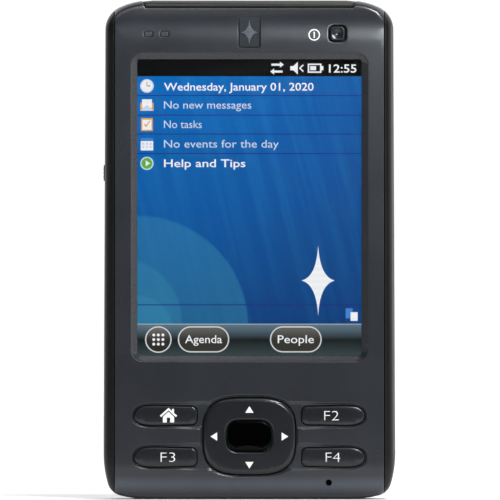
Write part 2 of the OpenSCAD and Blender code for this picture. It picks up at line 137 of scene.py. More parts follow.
BADGE_Z = PLATE.mid.z
LED_Z = LED.mid.z
LED_X = (LED.low.x + 1.05, LED.high.x - 1.05)
MIC_AT, MIC_R = (19.1, 4.0), 0.75
LIP_Z = BODY_H - 1.8
LIP_HALF, LIP_OUTER = 25.05, 25.95
BACK_EDGE_R = 2.2
SCREWS = [(24.9, 115.0), (-24.9, 115.0), (27.0, 4.2), (-27.0, 4.2)]
SPEAKER_AT, SPEAKER_PITCH = (-13, 105), 2.1

# Arcs of the front outline, as in the design: centre, radius and turn
FLAT_HALF = BODY_W / 2 - 11.1
FOOT_R, FOOT_END = 30, -76.5
HEEL_R, HEEL_END = 4.25, -16
FLANK_R, FLANK_END = 25.9, 0.25
SHOULDER_R, SHOULDER_END = 6.0, 65.0
BROW_R = 17
ROLL_TOP_R, ROLL_FOOT_R = 22, 20


def polar(c, r, a):
    return (c[0] + r * math.cos(math.radians(a)), c[1] + r * math.sin(math.radians(a)))


def arc(c, r, a0, a1, n):
    return [polar(c, r, a0 + (a1 - a0) * i / n) for i in range(n + 1)]


def mix(a, b, t):
    return a + (b - a) * t


def quarter(n):
    """A quarter turn in n steps, as pairs: the first runs from 1 to 0 and the second from 0 to 1."""
    turns = [math.radians(90 * k / n) for k in range(n + 1)]
    return [(1 - math.sin(a), 1 - math.cos(a)) for a in turns]


FOOT_C = (FLAT_HALF, FOOT_R)
HEEL_C = polar(FOOT_C, FOOT_R - HEEL_R, FOOT_END)
FLANK_C = polar(HEEL_C, HEEL_R - FLANK_R, HEEL_END)
BROW_C = (FLAT_HALF, BODY_H - BROW_R)
SHOULDER_C = polar(BROW_C, BROW_R - SHOULDER_R, SHOULDER_END)
ROLL_TOP_Z = BODY_H - 2 - (ROLL_TOP_R - 2) * math.sin(math.radians(24))
ROLL_FOOT_Z = 1.8 + (ROLL_FOOT_R - 1.8) * math.sin(math.radians(22))


def half_outline(inset):
    """Right half of the front outline, from the middle of the foot to the middle of the top."""
    points = [(2.0 * i, inset) for i in range(12)]
    points += arc(FOOT_C, FOOT_R - inset, -90, FOOT_END, 4)
    points += arc(HEEL_C, HEEL_R - inset, FOOT_END, HEEL_END, 12)[1:]
    points += arc(FLANK_C, FLANK_R - inset, HEEL_END, FLANK_END, 6)[1:]
    low = points[-1]
    high = polar(SHOULDER_C, SHOULDER_R - inset, FLANK_END)
    points += [(mix(low[0], high[0], t / 32), mix(low[1], high[1], t / 32)) for t in range(1, 32)]
    points += arc(SHOULDER_C, SHOULDER_R - inset, FLANK_END, SHOULDER_END, 14)
    top = [29.5, 28, 26.8, 26.2, LIP_OUTER, 25.8, 25.6, 25.4, 25.2, LIP_HALF, 24.8]
    for x in top + [24.0 - 2 * i for i in range(13)]:
        over = max(0, x - FLAT_HALF)
        points.append((x, BROW_C[1] + math.sqrt((BROW_R - inset) ** 2 - over ** 2)))
    return points


def both_halves(half):
    """A closed loop from a right half that starts and ends on the middle line."""
    return half + [(-x, z) for x, z in half[-2:0:-1]]


def outline(inset):
    return both_halves(half_outline(inset))


def lip(x):
    """Height of the front shell's edge under the slot cap."""
    over = (abs(x) - LIP_HALF) / (LIP_OUTER - LIP_HALF)
    return LIP_Z + max(0, over) * (BODY_H + 0.2 - LIP_Z) if over < 1 else BODY_H + 9


def clamped(points, half, drop=0.0):
    """Points held within the seams and, where the slot cap sits, under its edge."""
    return [(max(-half, min(half, x)), min(z, lip(max(-half, min(half, x))) - drop)) for x, z in points]


EDGE = np.array(outline(0.0))


def edge_distance(x, z):
    """How far a point lies inside the outline."""
    p = np.array([x, z])
    a, b = EDGE, np.roll(EDGE, -1, axis=0)
    ab = b - a
    t = np.clip(((p - a) * ab).sum(1) / (ab ** 2).sum(1).clip(1e-12), 0, 1)
    return float(np.hypot(*(a + ab * t[:, None] - p).T).min())


def rounding(distance, r):
    """Drop of a rounded edge of radius r at a distance inside it."""
    if distance >= r:
        return 0.0
    return r - math.sqrt(max(0.0, r * r - (r - max(0.0, distance)) ** 2))


def smooth_step(v, a, b):
    t = min(1, max(0, (v - a) / (b - a)))
    return t * t * (3 - 2 * t)


def face_height(x, z):
    """Depth of the whole front surface: flat, rolling back at the top, the foot and the rim."""
    y = FACE_Y
    if z > ROLL_TOP_Z:
        y += ROLL_TOP_R - math.sqrt(ROLL_TOP_R ** 2 - (z - ROLL_TOP_Z) ** 2)
    if z < ROLL_FOOT_Z:
        y += ROLL_FOOT_R - math.sqrt(ROLL_FOOT_R ** 2 - (ROLL_FOOT_Z - z) ** 2)
    return y + rounding(edge_distance(x, z), 1.5 + 1.1 * smooth_step(abs(x), 29, 33))


def plate_height(x, z):
    """The front shell's own surface, with its small edges at the seams and under the cap."""
    small = rounding(FACE_HALF - abs(x), 0.16) + rounding(lip(x) - z, 0.25)
    return face_height(x, z) + small


def rounded_loop(cx, cz, w, h, r, grow=0.0, n=6):
    w, h, r = w / 2 + grow, h / 2 + grow, max(0.01, r + grow)
    loop = []
    for sx, sz, start in ((1, -1, -90), (1, 1, 0), (-1, 1, 90), (-1, -1, 180)):
        loop += arc((cx + sx * (w - r), cz + sz * (h - r)), r, start, start + 90, n)
    return loop


def bulge(v, power):
    """Superellipse factor of a sine or cosine."""
    return math.copysign(abs(v) ** (2 / power), v)


def squircle(w, h, n, cz):
    """The ring's outline: a superellipse."""
    turns = [2 * math.pi * i / n for i in range(n)]
    return [(w / 2 * bulge(math.cos(a), RING_POWER), cz + h / 2 * bulge(math.sin(a), RING_POWER))
            for a in turns]


def key_tail(z, grow):
    """The long elliptic outer end of a key on the right, with points closer at its two quarters."""
    points = []
    for k in range(-14, 15):
        a = math.radians(90 * math.copysign(abs(k / 14) ** 1.25, k))
        points.append((KEY_INNER + KEY_L - KEY_TAIL + (KEY_TAIL + grow) * bulge(math.cos(a), KEY_POWER),
                       z + (KEY_H / 2 + grow) * bulge(math.sin(a), KEY_POWER)))
    return points


def key_loop(side, z, grow):
    """Oblong key: a blunt inner end with small corners, and a long outer end."""
    rise = KEY_H / 2 - KEY_END - KEY_CORNER
    loop = key_tail(0, grow)
    loop += arc((KEY_INNER + KEY_CORNER, rise), KEY_CORNER + grow, 90, 180, 6)
    loop += arc((KEY_INNER + KEY_CORNER, -rise), KEY_CORNER + grow, 180, 270, 6)
    return [(side * x, z + up) for x, up in loop]


# ---- mesh building


def placed(name, data):
    """A new object in the scene."""
    made = bpy.data.objects.new(name, data)
    bpy.context.scene.collection.objects.link(made)
    return made


def mesh_from(name, bm):
    mesh = bpy.data.meshes.new(name)
    bm.to_mesh(mesh)
    bm.free()
    return mesh


class Skin:
    """A mesh made of closed rings of points, walls between rings and filled regions."""

    def __init__(self):
        self.bm = bmesh.new()

    def ring(self, points):
        return [self.bm.verts.new(Vector(p) * MM) for p in points]

    def face(self, verts):
        verts = [v for i, v in enumerate(verts) if v is not verts[i - 1]]
        if len(set(verts)) > 2 and not self.bm.faces.get(verts):
            self.bm.faces.new(verts)

    def wall(self, a, b, closed=True):
        for i in range(len(a) if closed else len(a) - 1):
            j = (i + 1) % len(a)
            self.face([a[i], a[j], b[j], b[i]])

    def stack(self, rings):
        """Walls from ring to ring. Returns the first and the last ring."""
        made = [self.ring(r) for r in rings]
        for a, b in zip(made, made[1:]):
            self.wall(a, b)
        return made[0], made[-1]

    def solid(self, rings):
        """A stack that is closed at both ends."""
        for ring in self.stack(rings):
            self.face(ring)

    def fill(self, outer, holes=(), height=None, step=2.0, dense=()):
        """Triangles between an outer ring and holes, with inner points that follow height."""
        loops = [outer, *holes]
        verts = [v for loop in loops for v in loop]
        flat = [np.array([(v.co.x / MM, v.co.z / MM) for v in loop]) for loop in loops]
        coords = [Vector(p) for loop in flat for p in loop]
        edges, start = [], 0
        for loop in loops:
            edges += [(start + i, start + (i + 1) % len(loop)) for i in range(len(loop))]
            start += len(loop)
        if height:
            coords += [Vector(p) for p in grid_points(flat, step, dense)]
        found = delaunay_2d_cdt(coords, edges, [], 0, 1e-7)
        places, faces, origins = found[0], found[2], found[3]
        made = {}

        def vert(i):
            if i not in made:
                own = [o for o in origins[i] if o < len(verts)]
                x, z = places[i]
                y = height(x, z) if height else outer[0].co.y / MM
                made[i] = verts[own[0]] if own else self.bm.verts.new(Vector((x, y, z)) * MM)
            return made[i]

        centres = np.array([[sum(places[i][k] for i in f) / len(f) for k in (0, 1)] for f in faces])
        keep = within(flat, centres)
        thin = [n for n, f in enumerate(faces) if flat_area([places[i] for i in f]) < 2e-5]
        walls = {tuple(sorted(e)) for e, old in zip(found[1], found[4]) if old}
        follow_neighbours(thin, faces, keep, walls)
        for f, kept in zip(faces, keep):
            if kept:
                self.face([vert(i) for i in f])

    def done(self, name, material, body, node=(), slot=None, angle=32, smooth=True):
        bmesh.ops.remove_doubles(self.bm, verts=self.bm.verts, dist=2e-7)
        bmesh.ops.dissolve_degenerate(self.bm, dist=1e-7, edges=self.bm.edges)
        loose = [v for v in self.bm.verts if not v.link_faces]
        bmesh.ops.delete(self.bm, geom=loose, context="VERTS")
        face_outwards(self.bm)
        return settle(placed(name, mesh_from(name, self.bm)), material, body, node, angle, smooth)


def flat_area(corners):
    """Area of a triangle in the plane of the face."""
    a, b, c = corners
    return abs((b[0] - a[0]) * (c[1] - a[1]) - (c[0] - a[0]) * (b[1] - a[1])) / 2


def follow_neighbours(thin, faces, keep, walls):
    """Triangles too thin to place by their middle are kept or dropped with the neighbour they open to."""
    sides = [[tuple(sorted(pair)) for pair in zip(f, f[1:] + f[:1])] for f in faces]
    owners = {}
    for n, own in enumerate(sides):
        for side in own:
            owners.setdefault(side, []).append(n)
    unsure = set(thin)
    for _ in range(8):
        for n in sorted(unsure):
            open_sides = [side for side in sides[n] if side not in walls]
            sure = [m for side in open_sides for m in owners[side] if m != n and m not in unsure]
            if sure or all(len(owners[side]) == 1 for side in open_sides):
                keep[n] = bool(sure) and keep[sure[0]]
                unsure.discard(n)


def face_outwards(bm):
    """Turns the faces of each closed shell outwards."""
    bmesh.ops.recalc_face_normals(bm, faces=bm.faces)
    left = set(bm.faces)
    while left:
        shell, queue = [], [left.pop()]
        while queue:
            face = queue.pop()
            shell.append(face)
            near = {f for e in face.edges for f in e.link_faces} & left
            left -= near
            queue += near
        volume = sum(f.calc_area() * f.normal.dot(f.calc_center_median()) for f in shell)
        if volume < 0:
            bmesh.ops.reverse_faces(bm, faces=shell)


def settle(piece, material, body, node=(), angle=32, smooth=True):
    """Material, shading, and the body that a piece rides on."""
    mesh = piece.data
    mesh.materials.clear()
    mesh.materials.append(material)
    if smooth:
        mesh.polygons.foreach_set("use_smooth", [True] * len(mesh.polygons))
        mesh.set_sharp_from_angle(angle=math.radians(angle))
        weighted = piece.modifiers.new("even_normals", "WEIGHTED_NORMAL")
        weighted.keep_sharp = True
        weighted.weight = 80
    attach(piece, body)
    if node:
        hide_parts(*([node] if isinstance(node, str) else node))
    return piece


def inside(loop, points):
    """Which points lie inside a loop, by counting crossings."""
    x, z = points[:, 0], points[:, 1]
    result = np.zeros(len(points), bool)
    for (x0, z0), (x1, z1) in zip(loop, np.roll(loop, -1, axis=0)):
        if z0 != z1:
            result ^= ((z0 > z) != (z1 > z)) & (x < (x1 - x0) * (z - z0) / (z1 - z0) + x0)
    return result


def within(loops, points):
    """Which points lie inside the first loop and outside the others."""
    keep = inside(loops[0], points)
    for hole in loops[1:]:
        keep &= ~inside(hole, points)
    return keep


def loop_distance(loops, points):
    best = np.full(len(points), 1e9)
    for loop in loops:
        for a, b in zip(loop, np.roll(loop, -1, axis=0)):
            ab = b - a
            t = ((points - a) @ ab / max(1e-12, ab @ ab)).clip(0, 1)
            best = np.minimum(best, np.hypot(*(a + t[:, None] * ab - points).T))
    return best


def grid_points(loops, step, dense):
    """Inner points of a region: a grid, closer in the rows that dense names as (low, high, step)."""
    low, high = loops[0].min(0), loops[0].max(0)
    rows = set(np.arange(low[1] + step / 2, high[1], step))
    for z0, z1, close in dense:
        rows = {z for z in rows if not z0 <= z <= z1} | set(np.arange(z0, z1, close))
    points = np.array([(x, z) for z in sorted(rows) for x in np.arange(low[0] + step / 2, high[0], step)])
    points = points[within(loops, points)]
    return points[loop_distance(loops, points) > step * 0.3]


def at_height(loop, height, down=0.0):
    return [(x, height(x, z) + down, z) for x, z in loop]


def at_depth(loop, y):
    return [(x, y, z) for x, z in loop]


def divided(loop, like, longest=0.8):
    """The loop with points added along its sides, as many as keep the model loop's sides short."""
    points = []
    for i, (a, b) in enumerate(zip(loop, loop[1:] + loop[:1])):
        n = max(1, math.ceil(math.dist(like[i], like[(i + 1) % len(like)]) / longest))
        points += [(mix(a[0], b[0], k / n), mix(a[1], b[1], k / n)) for k in range(n)]
    return points


def well(skin, loop_of, height, depth, edge=0.1):
    """A hole in a surface with a rounded rim. loop_of(grow) is its outline. Returns rim and bottom."""
    like = loop_of(0.0)
    rings = [at_height(divided(loop_of(edge * 2.2), like), height)]
    for out, down in quarter(3):
        rings.append(at_height(divided(loop_of(edge * out), like), height, edge * down))
    rings.append(at_depth(divided(like, like), depth))
    return skin.stack(rings)


AXIS_ORDER = {
    "x": lambda p, d: (d, p[0], p[1]),
    "y": lambda p, d: (p[0], d, p[1]),
    "z": lambda p, d: (p[0], p[1], d),
}


def slab(skin, section, axis, start, end, edge=0.0):
    """A closed prism along an axis, with its start rounded. section(grow) gives pairs of the other axes."""
    order = AXIS_ORDER[axis]
    inwards = math.copysign(edge, end - start)
    steps = quarter(4) if edge else [(0.0, 0.0)]
    rings = [[order(p, start + inwards * down) for p in section(-edge * out)] for out, down in steps]
    rings.append([order(p, end) for p in section(0.0)])
    skin.solid(rings)


def block(skin, axis, centre, size, r, start, end, edge=0.0, n=6):
    """A prism with round corners. centre and size are given across its axis."""
    slab(skin, lambda g: rounded_loop(*centre, *size, r, g, n), axis, start, end, edge)
    return skin


def cut_out(piece, cutters):
    """Cuts closed shapes out of a piece, and keeps the result as plain mesh."""
    for cutter in cutters:
        face_outwards(cutter.bm)
        tool = placed("cutter", mesh_from("cutter", cutter.bm))
        change = piece.modifiers.new("cut", "BOOLEAN")
        change.object = tool
        change.operation = "DIFFERENCE"
        change.solver = "MANIFOLD"
        with bpy.context.temp_override(object=piece, active_object=piece):
            bpy.ops.object.modifier_move_to_index(modifier="cut", index=0)
            bpy.ops.object.modifier_apply(modifier="cut")
        bpy.data.meshes.remove(tool.data)
    piece.data.set_sharp_from_angle(angle=math.radians(32))

# ---- materials


class Nodes:
    """Short hand for building a node tree."""

    def __init__(self, tree):
        self.tree = tree
        self.coords = self.node("ShaderNodeTexCoord").outputs

    def node(self, kind, **values):
        made = self.tree.nodes.new(kind)
        for key, value in values.items():
            if key in made.inputs:
                self.feed(made.inputs[key], value)
            else:
                setattr(made, key, value)
        return made

    def feed(self, socket, value):
        """A socket's value: another node's output, a colour or a number."""
        if isinstance(value, bpy.types.NodeSocket):
            self.tree.links.new(value, socket)
        elif socket.type == "RGBA":
            socket.default_value = (*value, 1)
        else:
            socket.default_value = value

    def axes(self, vector):
        return self.node("ShaderNodeSeparateXYZ", Vector=vector).outputs

    def maths(self, operation, *values, kind="ShaderNodeMath"):
        made = self.node(kind, operation=operation)
        for socket, value in zip(made.inputs, values):
            self.feed(socket, value)
        return made

    def mapped(self, vector, **values):
        return self.node("ShaderNodeMapping", Vector=vector, **values).outputs[0]

    def spread(self, value, low, high, out_low=0.0, out_high=1.0, kind="LINEAR"):
        made = self.node("ShaderNodeMapRange", interpolation_type=kind, Value=value)
        for key, number in zip(("From Min", "From Max", "To Min", "To Max"), (low, high, out_low, out_high)):
            made.inputs[key].default_value = number
        return made.outputs[0]

    def blend(self, factor, a, b):
        made = self.node("ShaderNodeMix", data_type="RGBA")
        for k, value in ((0, factor), (6, a), (7, b)):
            self.feed(made.inputs[k], value)
        return made.outputs[2]


class Paint(Nodes):
    """A Principled material whose maps come from nodes in object coordinates."""

    def __init__(self, name, colour, rough=0.5, metal=0.0, specular=0.5, coat=0.0):
        self.material = bpy.data.materials.new(name)
        self.material.use_nodes = True
        super().__init__(self.material.node_tree)
        self.shader = self.tree.nodes["Principled BSDF"]
        self.set("Base Color", colour)
        self.set("Roughness", rough)
        self.set("Metallic", metal)
        self.set("Specular IOR Level", specular)
        self.set("Coat Weight", coat)
        self.set("Coat Roughness", 0.1)
        self.place = self.coords["Object"]
        self.normal = None

    def set(self, socket, value):
        self.feed(self.shader.inputs[socket], value)

    def glow(self, colour, strength=1.0):
        self.set("Emission Color", colour)
        self.set("Emission Strength", strength)
        return self.material

    def noise(self, scale, detail=2.0, rough=0.5, stretch=None):
        place = self.mapped(self.place, Scale=stretch) if stretch else self.place
        made = self.node("ShaderNodeTexNoise", Scale=scale, Detail=detail, Roughness=rough, Vector=place)
        return made.outputs["Fac"]

    def bump(self, value, height):
        """Adds relief of a height in millimetres."""
        made = self.node("ShaderNodeBump", Strength=1.0, Distance=height * MM, Height=value)
        if self.normal:
            self.feed(made.inputs["Normal"], self.normal)
        self.normal = made.outputs[0]
        self.set("Normal", self.normal)
        return self


def shade(colour, factor):
    return tuple(min(1.0, c * factor) for c in colour)


def moulded(name, colour, rough=0.5, grain=0.012, pitch=0.28, sheen_zones=(), **more):
    """Moulded plastic with a spark-eroded grain and faint flow marks.

    Its zones are bands of painted sheen: the tone made paler in place of reflected light, as (height, half
    width, how much paler).
    """
    p = Paint(name, colour, rough, **more)
    fine = p.noise(1 / (pitch * MM), 3.0, 0.6)
    broad = p.noise(1 / (9 * MM), 3.0, 0.55)
    tone = p.blend(p.spread(broad, 0.3, 0.7), shade(colour, 0.88), shade(colour, 1.12))
    tone = p.blend(p.spread(fine, 0.35, 0.75), tone, shade(colour, 1.192))
    # Painted sheen: zones of the tone made paler to stand in for reflected light.
    for zone in sheen_zones:
        tone = painted_sheen(p, tone, *zone)
    p.set("Base Color", tone)
    p.set("Roughness", p.spread(p.noise(1 / (16 * MM), 1.0), 0.25, 0.75, rough - 0.025, rough + 0.02))
    p.bump(fine, grain).bump(p.noise(1 / (0.09 * MM), 2.0), grain * 0.5)
    return p.material


def painted_sheen(p, tone, height, half, amount):
    """Painted sheen: the tone made paler in a zone around a height, in place of reflected light."""
    off = p.maths("SUBTRACT", p.axes(p.place)["Z"], height * MM)
    away = p.maths("ABSOLUTE", off.outputs[0])
    near = p.spread(away.outputs[0], half * MM, 0.0, kind="SMOOTHSTEP")
    paler = p.maths("SCALE", tone, kind="ShaderNodeVectorMath")
    paler.inputs["Scale"].default_value = 1 + amount
    return p.blend(near, tone, paler.outputs[0])


def brushed(name, colour, rough=0.3, across=(1, 1, 30), metal=1.0):
    p = Paint(name, colour, rough, metal=metal)
    streaks = p.noise(1 / (1.2 * MM), 4.0, 0.6, across)
    p.set("Base Color", p.blend(p.spread(streaks, 0.3, 0.7), shade(colour, 0.82), shade(colour, 1.12)))
    p.set("Roughness", p.spread(streaks, 0.3, 0.7, rough - 0.06, rough + 0.1))
    p.bump(streaks, 0.01)
    return p.material


def circuit_board(name):
    green = (0.012, 0.11, 0.05)
    p = Paint(name, green, 0.35, coat=0.4)
    cells = p.node("ShaderNodeTexVoronoi", distance="MANHATTAN", Scale=1 / (2.4 * MM), Vector=p.place)
    tracks = p.spread(cells.outputs["Distance"], 0.36, 0.4)
    p.set("Base Color", p.blend(tracks, green, (0.03, 0.22, 0.1)))
    p.bump(tracks, 0.03)
    return p.material


def printed(name, colour):
    """Pad-printed ink, a little uneven, that also glows faintly: painted light that keeps the ink bright."""
    p = Paint(name, colour, 0.42)
    grain = p.noise(1 / (0.2 * MM), 3.0)
    p.set("Base Color", p.blend(p.spread(grain, 0.35, 0.7), shade(colour, 0.93), shade(colour, 1.04)))
    p.bump(grain, 0.006)
    # Painted light: the ink glows a little though it is no lamp.
    return p.glow(colour, 0.25)


def lit(name, colour):
    """A lit patch of the display, with the faint rows of its pixels, 0.238 mm apart."""
    p = Paint(name, (0, 0, 0), 0.4, specular=0.1)
    place = p.mapped(p.place, Scale=(1, 1, 1))
    rows = p.node("ShaderNodeTexWave", Scale=1 / (0.238 * MM) / 20, bands_direction="Z", Vector=place)
    return p.glow(p.blend(rows.outputs["Fac"], shade(colour, 0.94), colour))


def clear_glass():
    p = Paint("touch_glass", (1, 1, 1), 0.02)
    p.set("Transmission Weight", 1.0)
    p.set("IOR", 1.12)
    p.set("Roughness", p.spread(p.noise(1 / (14 * MM), 3.0), 0.4, 0.8, 0.01, 0.05))
    return p.material


# Painted sheen on the face: a broad band above the foot and a fainter one near the top.
SHEEN_ZONES = ((3.5, 2.6, 2.6), (113.0, 5.0, 0.4))
CHARCOAL = moulded("charcoal_plastic", (0.015, 0.0165, 0.021), 0.25, specular=0.6)
FACE = moulded("charcoal_face", (0.0145, 0.0165, 0.0215), 0.25, specular=0.6, sheen_zones=SHEEN_ZONES)
KEY_DARK = moulded("key_plastic", (0.0105, 0.011, 0.014), 0.24, 0.004, 0.2, specular=0.35, coat=0.3)
BAND_DARK = moulded("band_rubber", (0.0045, 0.0035, 0.0034), 0.34, grain=0.01, pitch=0.35, specular=0.3)
CAP_BROWN = moulded("cap_plastic", (0.06, 0.059, 0.057), 0.42, grain=0.008, specular=0.3)
BLACK = moulded("black_plastic", (0.012, 0.012, 0.013), 0.4, grain=0.006)
GLOSS = moulded("select_gloss", (0.0003, 0.0003, 0.0003), 0.06, grain=0.0006, specular=0.08)
# Near-black felt, used as painted shade in the microphone hole.
SHADE_FELT = moulded("black_felt", (0.001, 0.001, 0.001), 0.95, grain=0.02, specular=0.05)
FOAM = moulded("gasket_foam", (0.01, 0.01, 0.01), 0.9, grain=0.03, pitch=0.3)
GLOWING_PRINT = printed("white_print_glowing", (0.78, 0.78, 0.76))
STEEL = brushed("plated_steel", (0.55, 0.56, 0.58))
CAST = brushed("cast_frame", (0.4, 0.41, 0.43), 0.45, (1, 1, 1))
GOLD = brushed("contact_gold", (0.75, 0.53, 0.17), 0.25)
BOARD = circuit_board("circuit_board")
WRAP = moulded("battery_wrap", (0.045, 0.05, 0.062), 0.32, grain=0.004, pitch=0.8)
AMBER = moulded("antenna_film", (0.42, 0.2, 0.05), 0.3, grain=0.004)
LENS = moulded("indicator_lens", (0.042, 0.045, 0.05), 0.3, grain=0.004)
BADGE = brushed("badge_metal", (0.016, 0.019, 0.024), 0.35, (1, 1, 12), 0.4)
BADGE_LIGHT = brushed("badge_relief", (0.12, 0.13, 0.15), 0.3, (1, 1, 12), 0.5)
GLASS = clear_glass()

# ---- front shell


def channel_half(grow):
    """Right half of the recess around the ring and the keys, from its lowest to its highest point."""
    a, b = RING_W / 2 + grow, RING_H / 2 + grow
    half = KEY_H / 2 + grow
    flare = max(0.0, grow - 0.33) * 1.1
    tail_x = KEY_INNER + KEY_L - KEY_TAIL

    def on_ring(t):
        t = math.radians(t)
        return (a * bulge(math.cos(t), RING_POWER), RING_Z + b * bulge(math.sin(t), RING_POWER))

    def ring_turn(z):
        share = (z - RING_Z) / b
        return math.degrees(math.asin(math.copysign(abs(share) ** (RING_POWER / 2), share)))

    def sweep(t0, t1, n):
        return [on_ring(t0 + (t1 - t0) * i / n) for i in range(n + 1)]

    def bridge(ring_point, key_z, side):
        """The edge from the ring's outline to the key's outer end."""
        points = []
        for t in (i / 12 for i in range(1, 12)):
            z = key_z + side * (half + flare * (1 - smooth_step(t, 0, 0.75)))
            points.append((mix(ring_point[0], tail_x, t), mix(z, ring_point[1], max(0, 1 - 4 * t) ** 2)))
        return points

    points, turn = [], -90
    for key_z, count in ((LOWER_Z, 16), (UPPER_Z, 12)):
        points += sweep(turn, ring_turn(key_z - half + 0.12 - flare), count)
        points += bridge(points[-1], key_z, -1)
        points += key_tail(key_z, grow)
        turn = ring_turn(key_z + half - 0.12 + flare)
        points += bridge(on_ring(turn), key_z, 1)[::-1]
    return points + sweep(turn, 90, 16)


def channel_loop(grow):
    half = channel_half(grow)
    half[0], half[-1] = (0, half[0][1]), (0, half[-1][1])
    return both_halves(half)


def shell_edge(skin):
    """The rolled edge of the front shell and its flank. Returns the edges of the face and of the back."""
    rings = []
    for inset, drop in [(1.9, 0.6), (1.5, 0.3)] + [(1.5 * out, 0.25 * out) for out, _ in quarter(8)[1:]]:
        held = clamped(outline(inset), FACE_HALF - drop * 0.65, drop)
        rings.append(at_height(held, plate_height))
    rings.append(at_depth(clamped(outline(0), FACE_HALF), PART_Y - 0.12))
    rings.append(at_depth(clamped(outline(0.12), FACE_HALF - 0.12, 0.12), PART_Y))
    return skin.stack(rings)


def screen_slope(skin):
    """Sloped rim down to the touch panel."""

    def loop(t):
        grow = 2 * RIM * (1 - t)
        return rounded_loop(0, SCREEN_Z, SCREEN_W + grow, SCREEN_H + grow, mix(2.9, 0.6, t), 0.0, 12)

    profile = [(-0.2, 0), (-0.06, 0), (0.0, 0.02), (0.05, 0.09), (0.1, 0.16), (0.5, 0.62), (0.94, 1.1),
               (0.985, 1.17), (1.0, 1.24)]
    rings = [at_height(loop(t), plate_height, down) for t, down in profile]
    return skin.stack(rings + [at_depth(loop(1.0), INNER_Y)])


def key_recess(skin):
    """Recess that the keys and the ring stand in. Returns its rim and the bottoms of its openings."""

    def floor_height(x, z):
        return plate_height(x, z) + CHANNEL_DEPTH

    def ring_opening(g):
        grow = 2 * (RING_GAP - 0.05 + g * 0.3)
        return squircle(RING_W + grow, RING_H + grow, 96, RING_Z)

    profile = [(0.85, 0), (0.74, 0.0), (0.69, 0.01), (0.63, 0.035), (0.58, 0.08), (0.40, 0.25), (0.36, 0.285),
               (0.33, CHANNEL_DEPTH)]
    rim, floor = skin.stack([at_height(channel_loop(grow), plate_height, down) for grow, down in profile])
    outlines = [lambda g, side=side, z=z: key_loop(side, z, KEY_GAP + g * 0.5)
                for side in (-1, 1) for z in (UPPER_Z, LOWER_Z)]
    wells = [well(skin, loop_of, floor_height, INNER_Y, edge=0.05) for loop_of in outlines + [ring_opening]]
    skin.fill(floor, [top for top, _ in wells], floor_height)
    return rim, [bottom for _, bottom in wells]


def make_front_shell():
    skin = Skin()
    face_edge, back_edge = shell_edge(skin)
    inner = rounded_loop(0, mid(3.6, 114.3), 62, 114.3 - 3.6, 2.0)
    inner_rim, inner_edge = skin.stack([at_depth(inner, PART_Y), at_depth(inner, INNER_Y)])
    skin.fill(back_edge, [inner_rim])

    rim, bottom = screen_slope(skin)
    recess_rim, openings = key_recess(skin)
    holes = [rim, recess_rim]
    openings.insert(0, bottom)

    # Openings for the power button and the indicators, then the blind badge recess and microphone hole
    through = [(POWER_X, POWER_Z, POWER_W + 2 * POWER_GAP, POWER_H + 2 * POWER_GAP, 1.2, INNER_Y, 0.16)]
    through += [(x, LED_Z, 2.2, 1.4, 0.5, INNER_Y, 0.12) for x in LED_X]
    blind = [(0, BADGE_Z, 5.3, 7.5, 0.45, PLATE.high.y, 0.1)]
    blind += [(*MIC_AT, 2 * MIC_R, 2 * MIC_R, MIC_R, INNER_Y - 0.1, 0.08)]
    for *shape, depth, edge in through + blind:
        rim, bottom = well(skin, lambda g: rounded_loop(*shape, g), plate_height, depth, edge)
        holes.append(rim)
        if depth == INNER_Y:
            openings.append(bottom)
        else:
            skin.face(bottom)

    skin.fill(face_edge, holes, plate_height, 2.0, [(0, 9.5, 0.7), (109, 120, 0.7)])
    skin.fill(inner_edge, openings)
    skin.done("front_shell", FACE, "housing", "front_housing", "housing_plastic")


# ---- side bands


def outline_half_width(z):
    """Half width of the outline at a height, along its side."""
    best = 0.0
    points = half_outline(0.0)
    for (x0, z0), (x1, z1) in zip(points, points[1:]):
        if x0 > 30 and z0 <= z <= z1 and z1 > z0:
            best = max(best, mix(x0, x1, (z - z0) / (z1 - z0)))
    return best


def band_section(z, side):
    """Closed section of a side band at one height, seen from above."""
    inner, outer = FACE_HALF + SEAM, outline_half_width(z)
    width = max(0.02, outer - inner)
    r = min(0.16, width * 0.4)
    section = []
    for down, in_ in quarter(4):
        x = inner + r * in_
        section.append((x, face_height(x, z) + r * down))
    for k in range(1, 19):
        x = mix(inner + r, outer, math.sin(math.radians(90 * k / 18)))
        section.append((x, face_height(x, z)))
    front = section[-1][1]
    section += [(outer, mix(front, BAND_BACK_Y - 0.25, t / 4)) for t in range(1, 5)]
    section += [(outer - min(0.07, width * 0.3), BAND_BACK_Y - 0.07),
                (outer - min(0.25, width * 0.5), BAND_BACK_Y),
                (inner, BAND_BACK_Y), (inner, mid(BAND_BACK_Y, section[0][1]))]
    return [(side * x, y, z) for x, y in section]


def band_heights():
    """Heights of a band's sections, closer together at both ends."""
    stations = [mix(1.42, 14, 1 - math.cos(math.radians(90 * k / 22))) for k in range(22)]
    stations += [mix(14, 108, k / 24) for k in range(24)]
    return stations + [mix(108, 117.55, math.sin(math.radians(90 * k / 26))) for k in range(27)]


def make_side_band(side, name):
    skin = Skin()
    skin.solid([band_section(z, side) for z in band_heights()])
    return skin.done(name + "_moulding", BAND_DARK, "housing", name, "side_band_rubber", angle=40)


def make_side_bands():
    left = make_side_band(-1, "left_side_band")
    button = block(Skin(), "x", (SIDE_Y, SIDE_Z), (3.1, 4.5), 1.0, -BODY_W / 2 - 1, SIDE_STEM_X)
    cord = block(Skin(), "x", (SIDE_Y, 74.8), (1.6, 1.2), 0.5, -BODY_W / 2 - 1, -BODY_W / 2 + 0.9)
    cut_out(left, [button, cord])
    make_side_band(1, "right_side_band")


# ---- rear shell


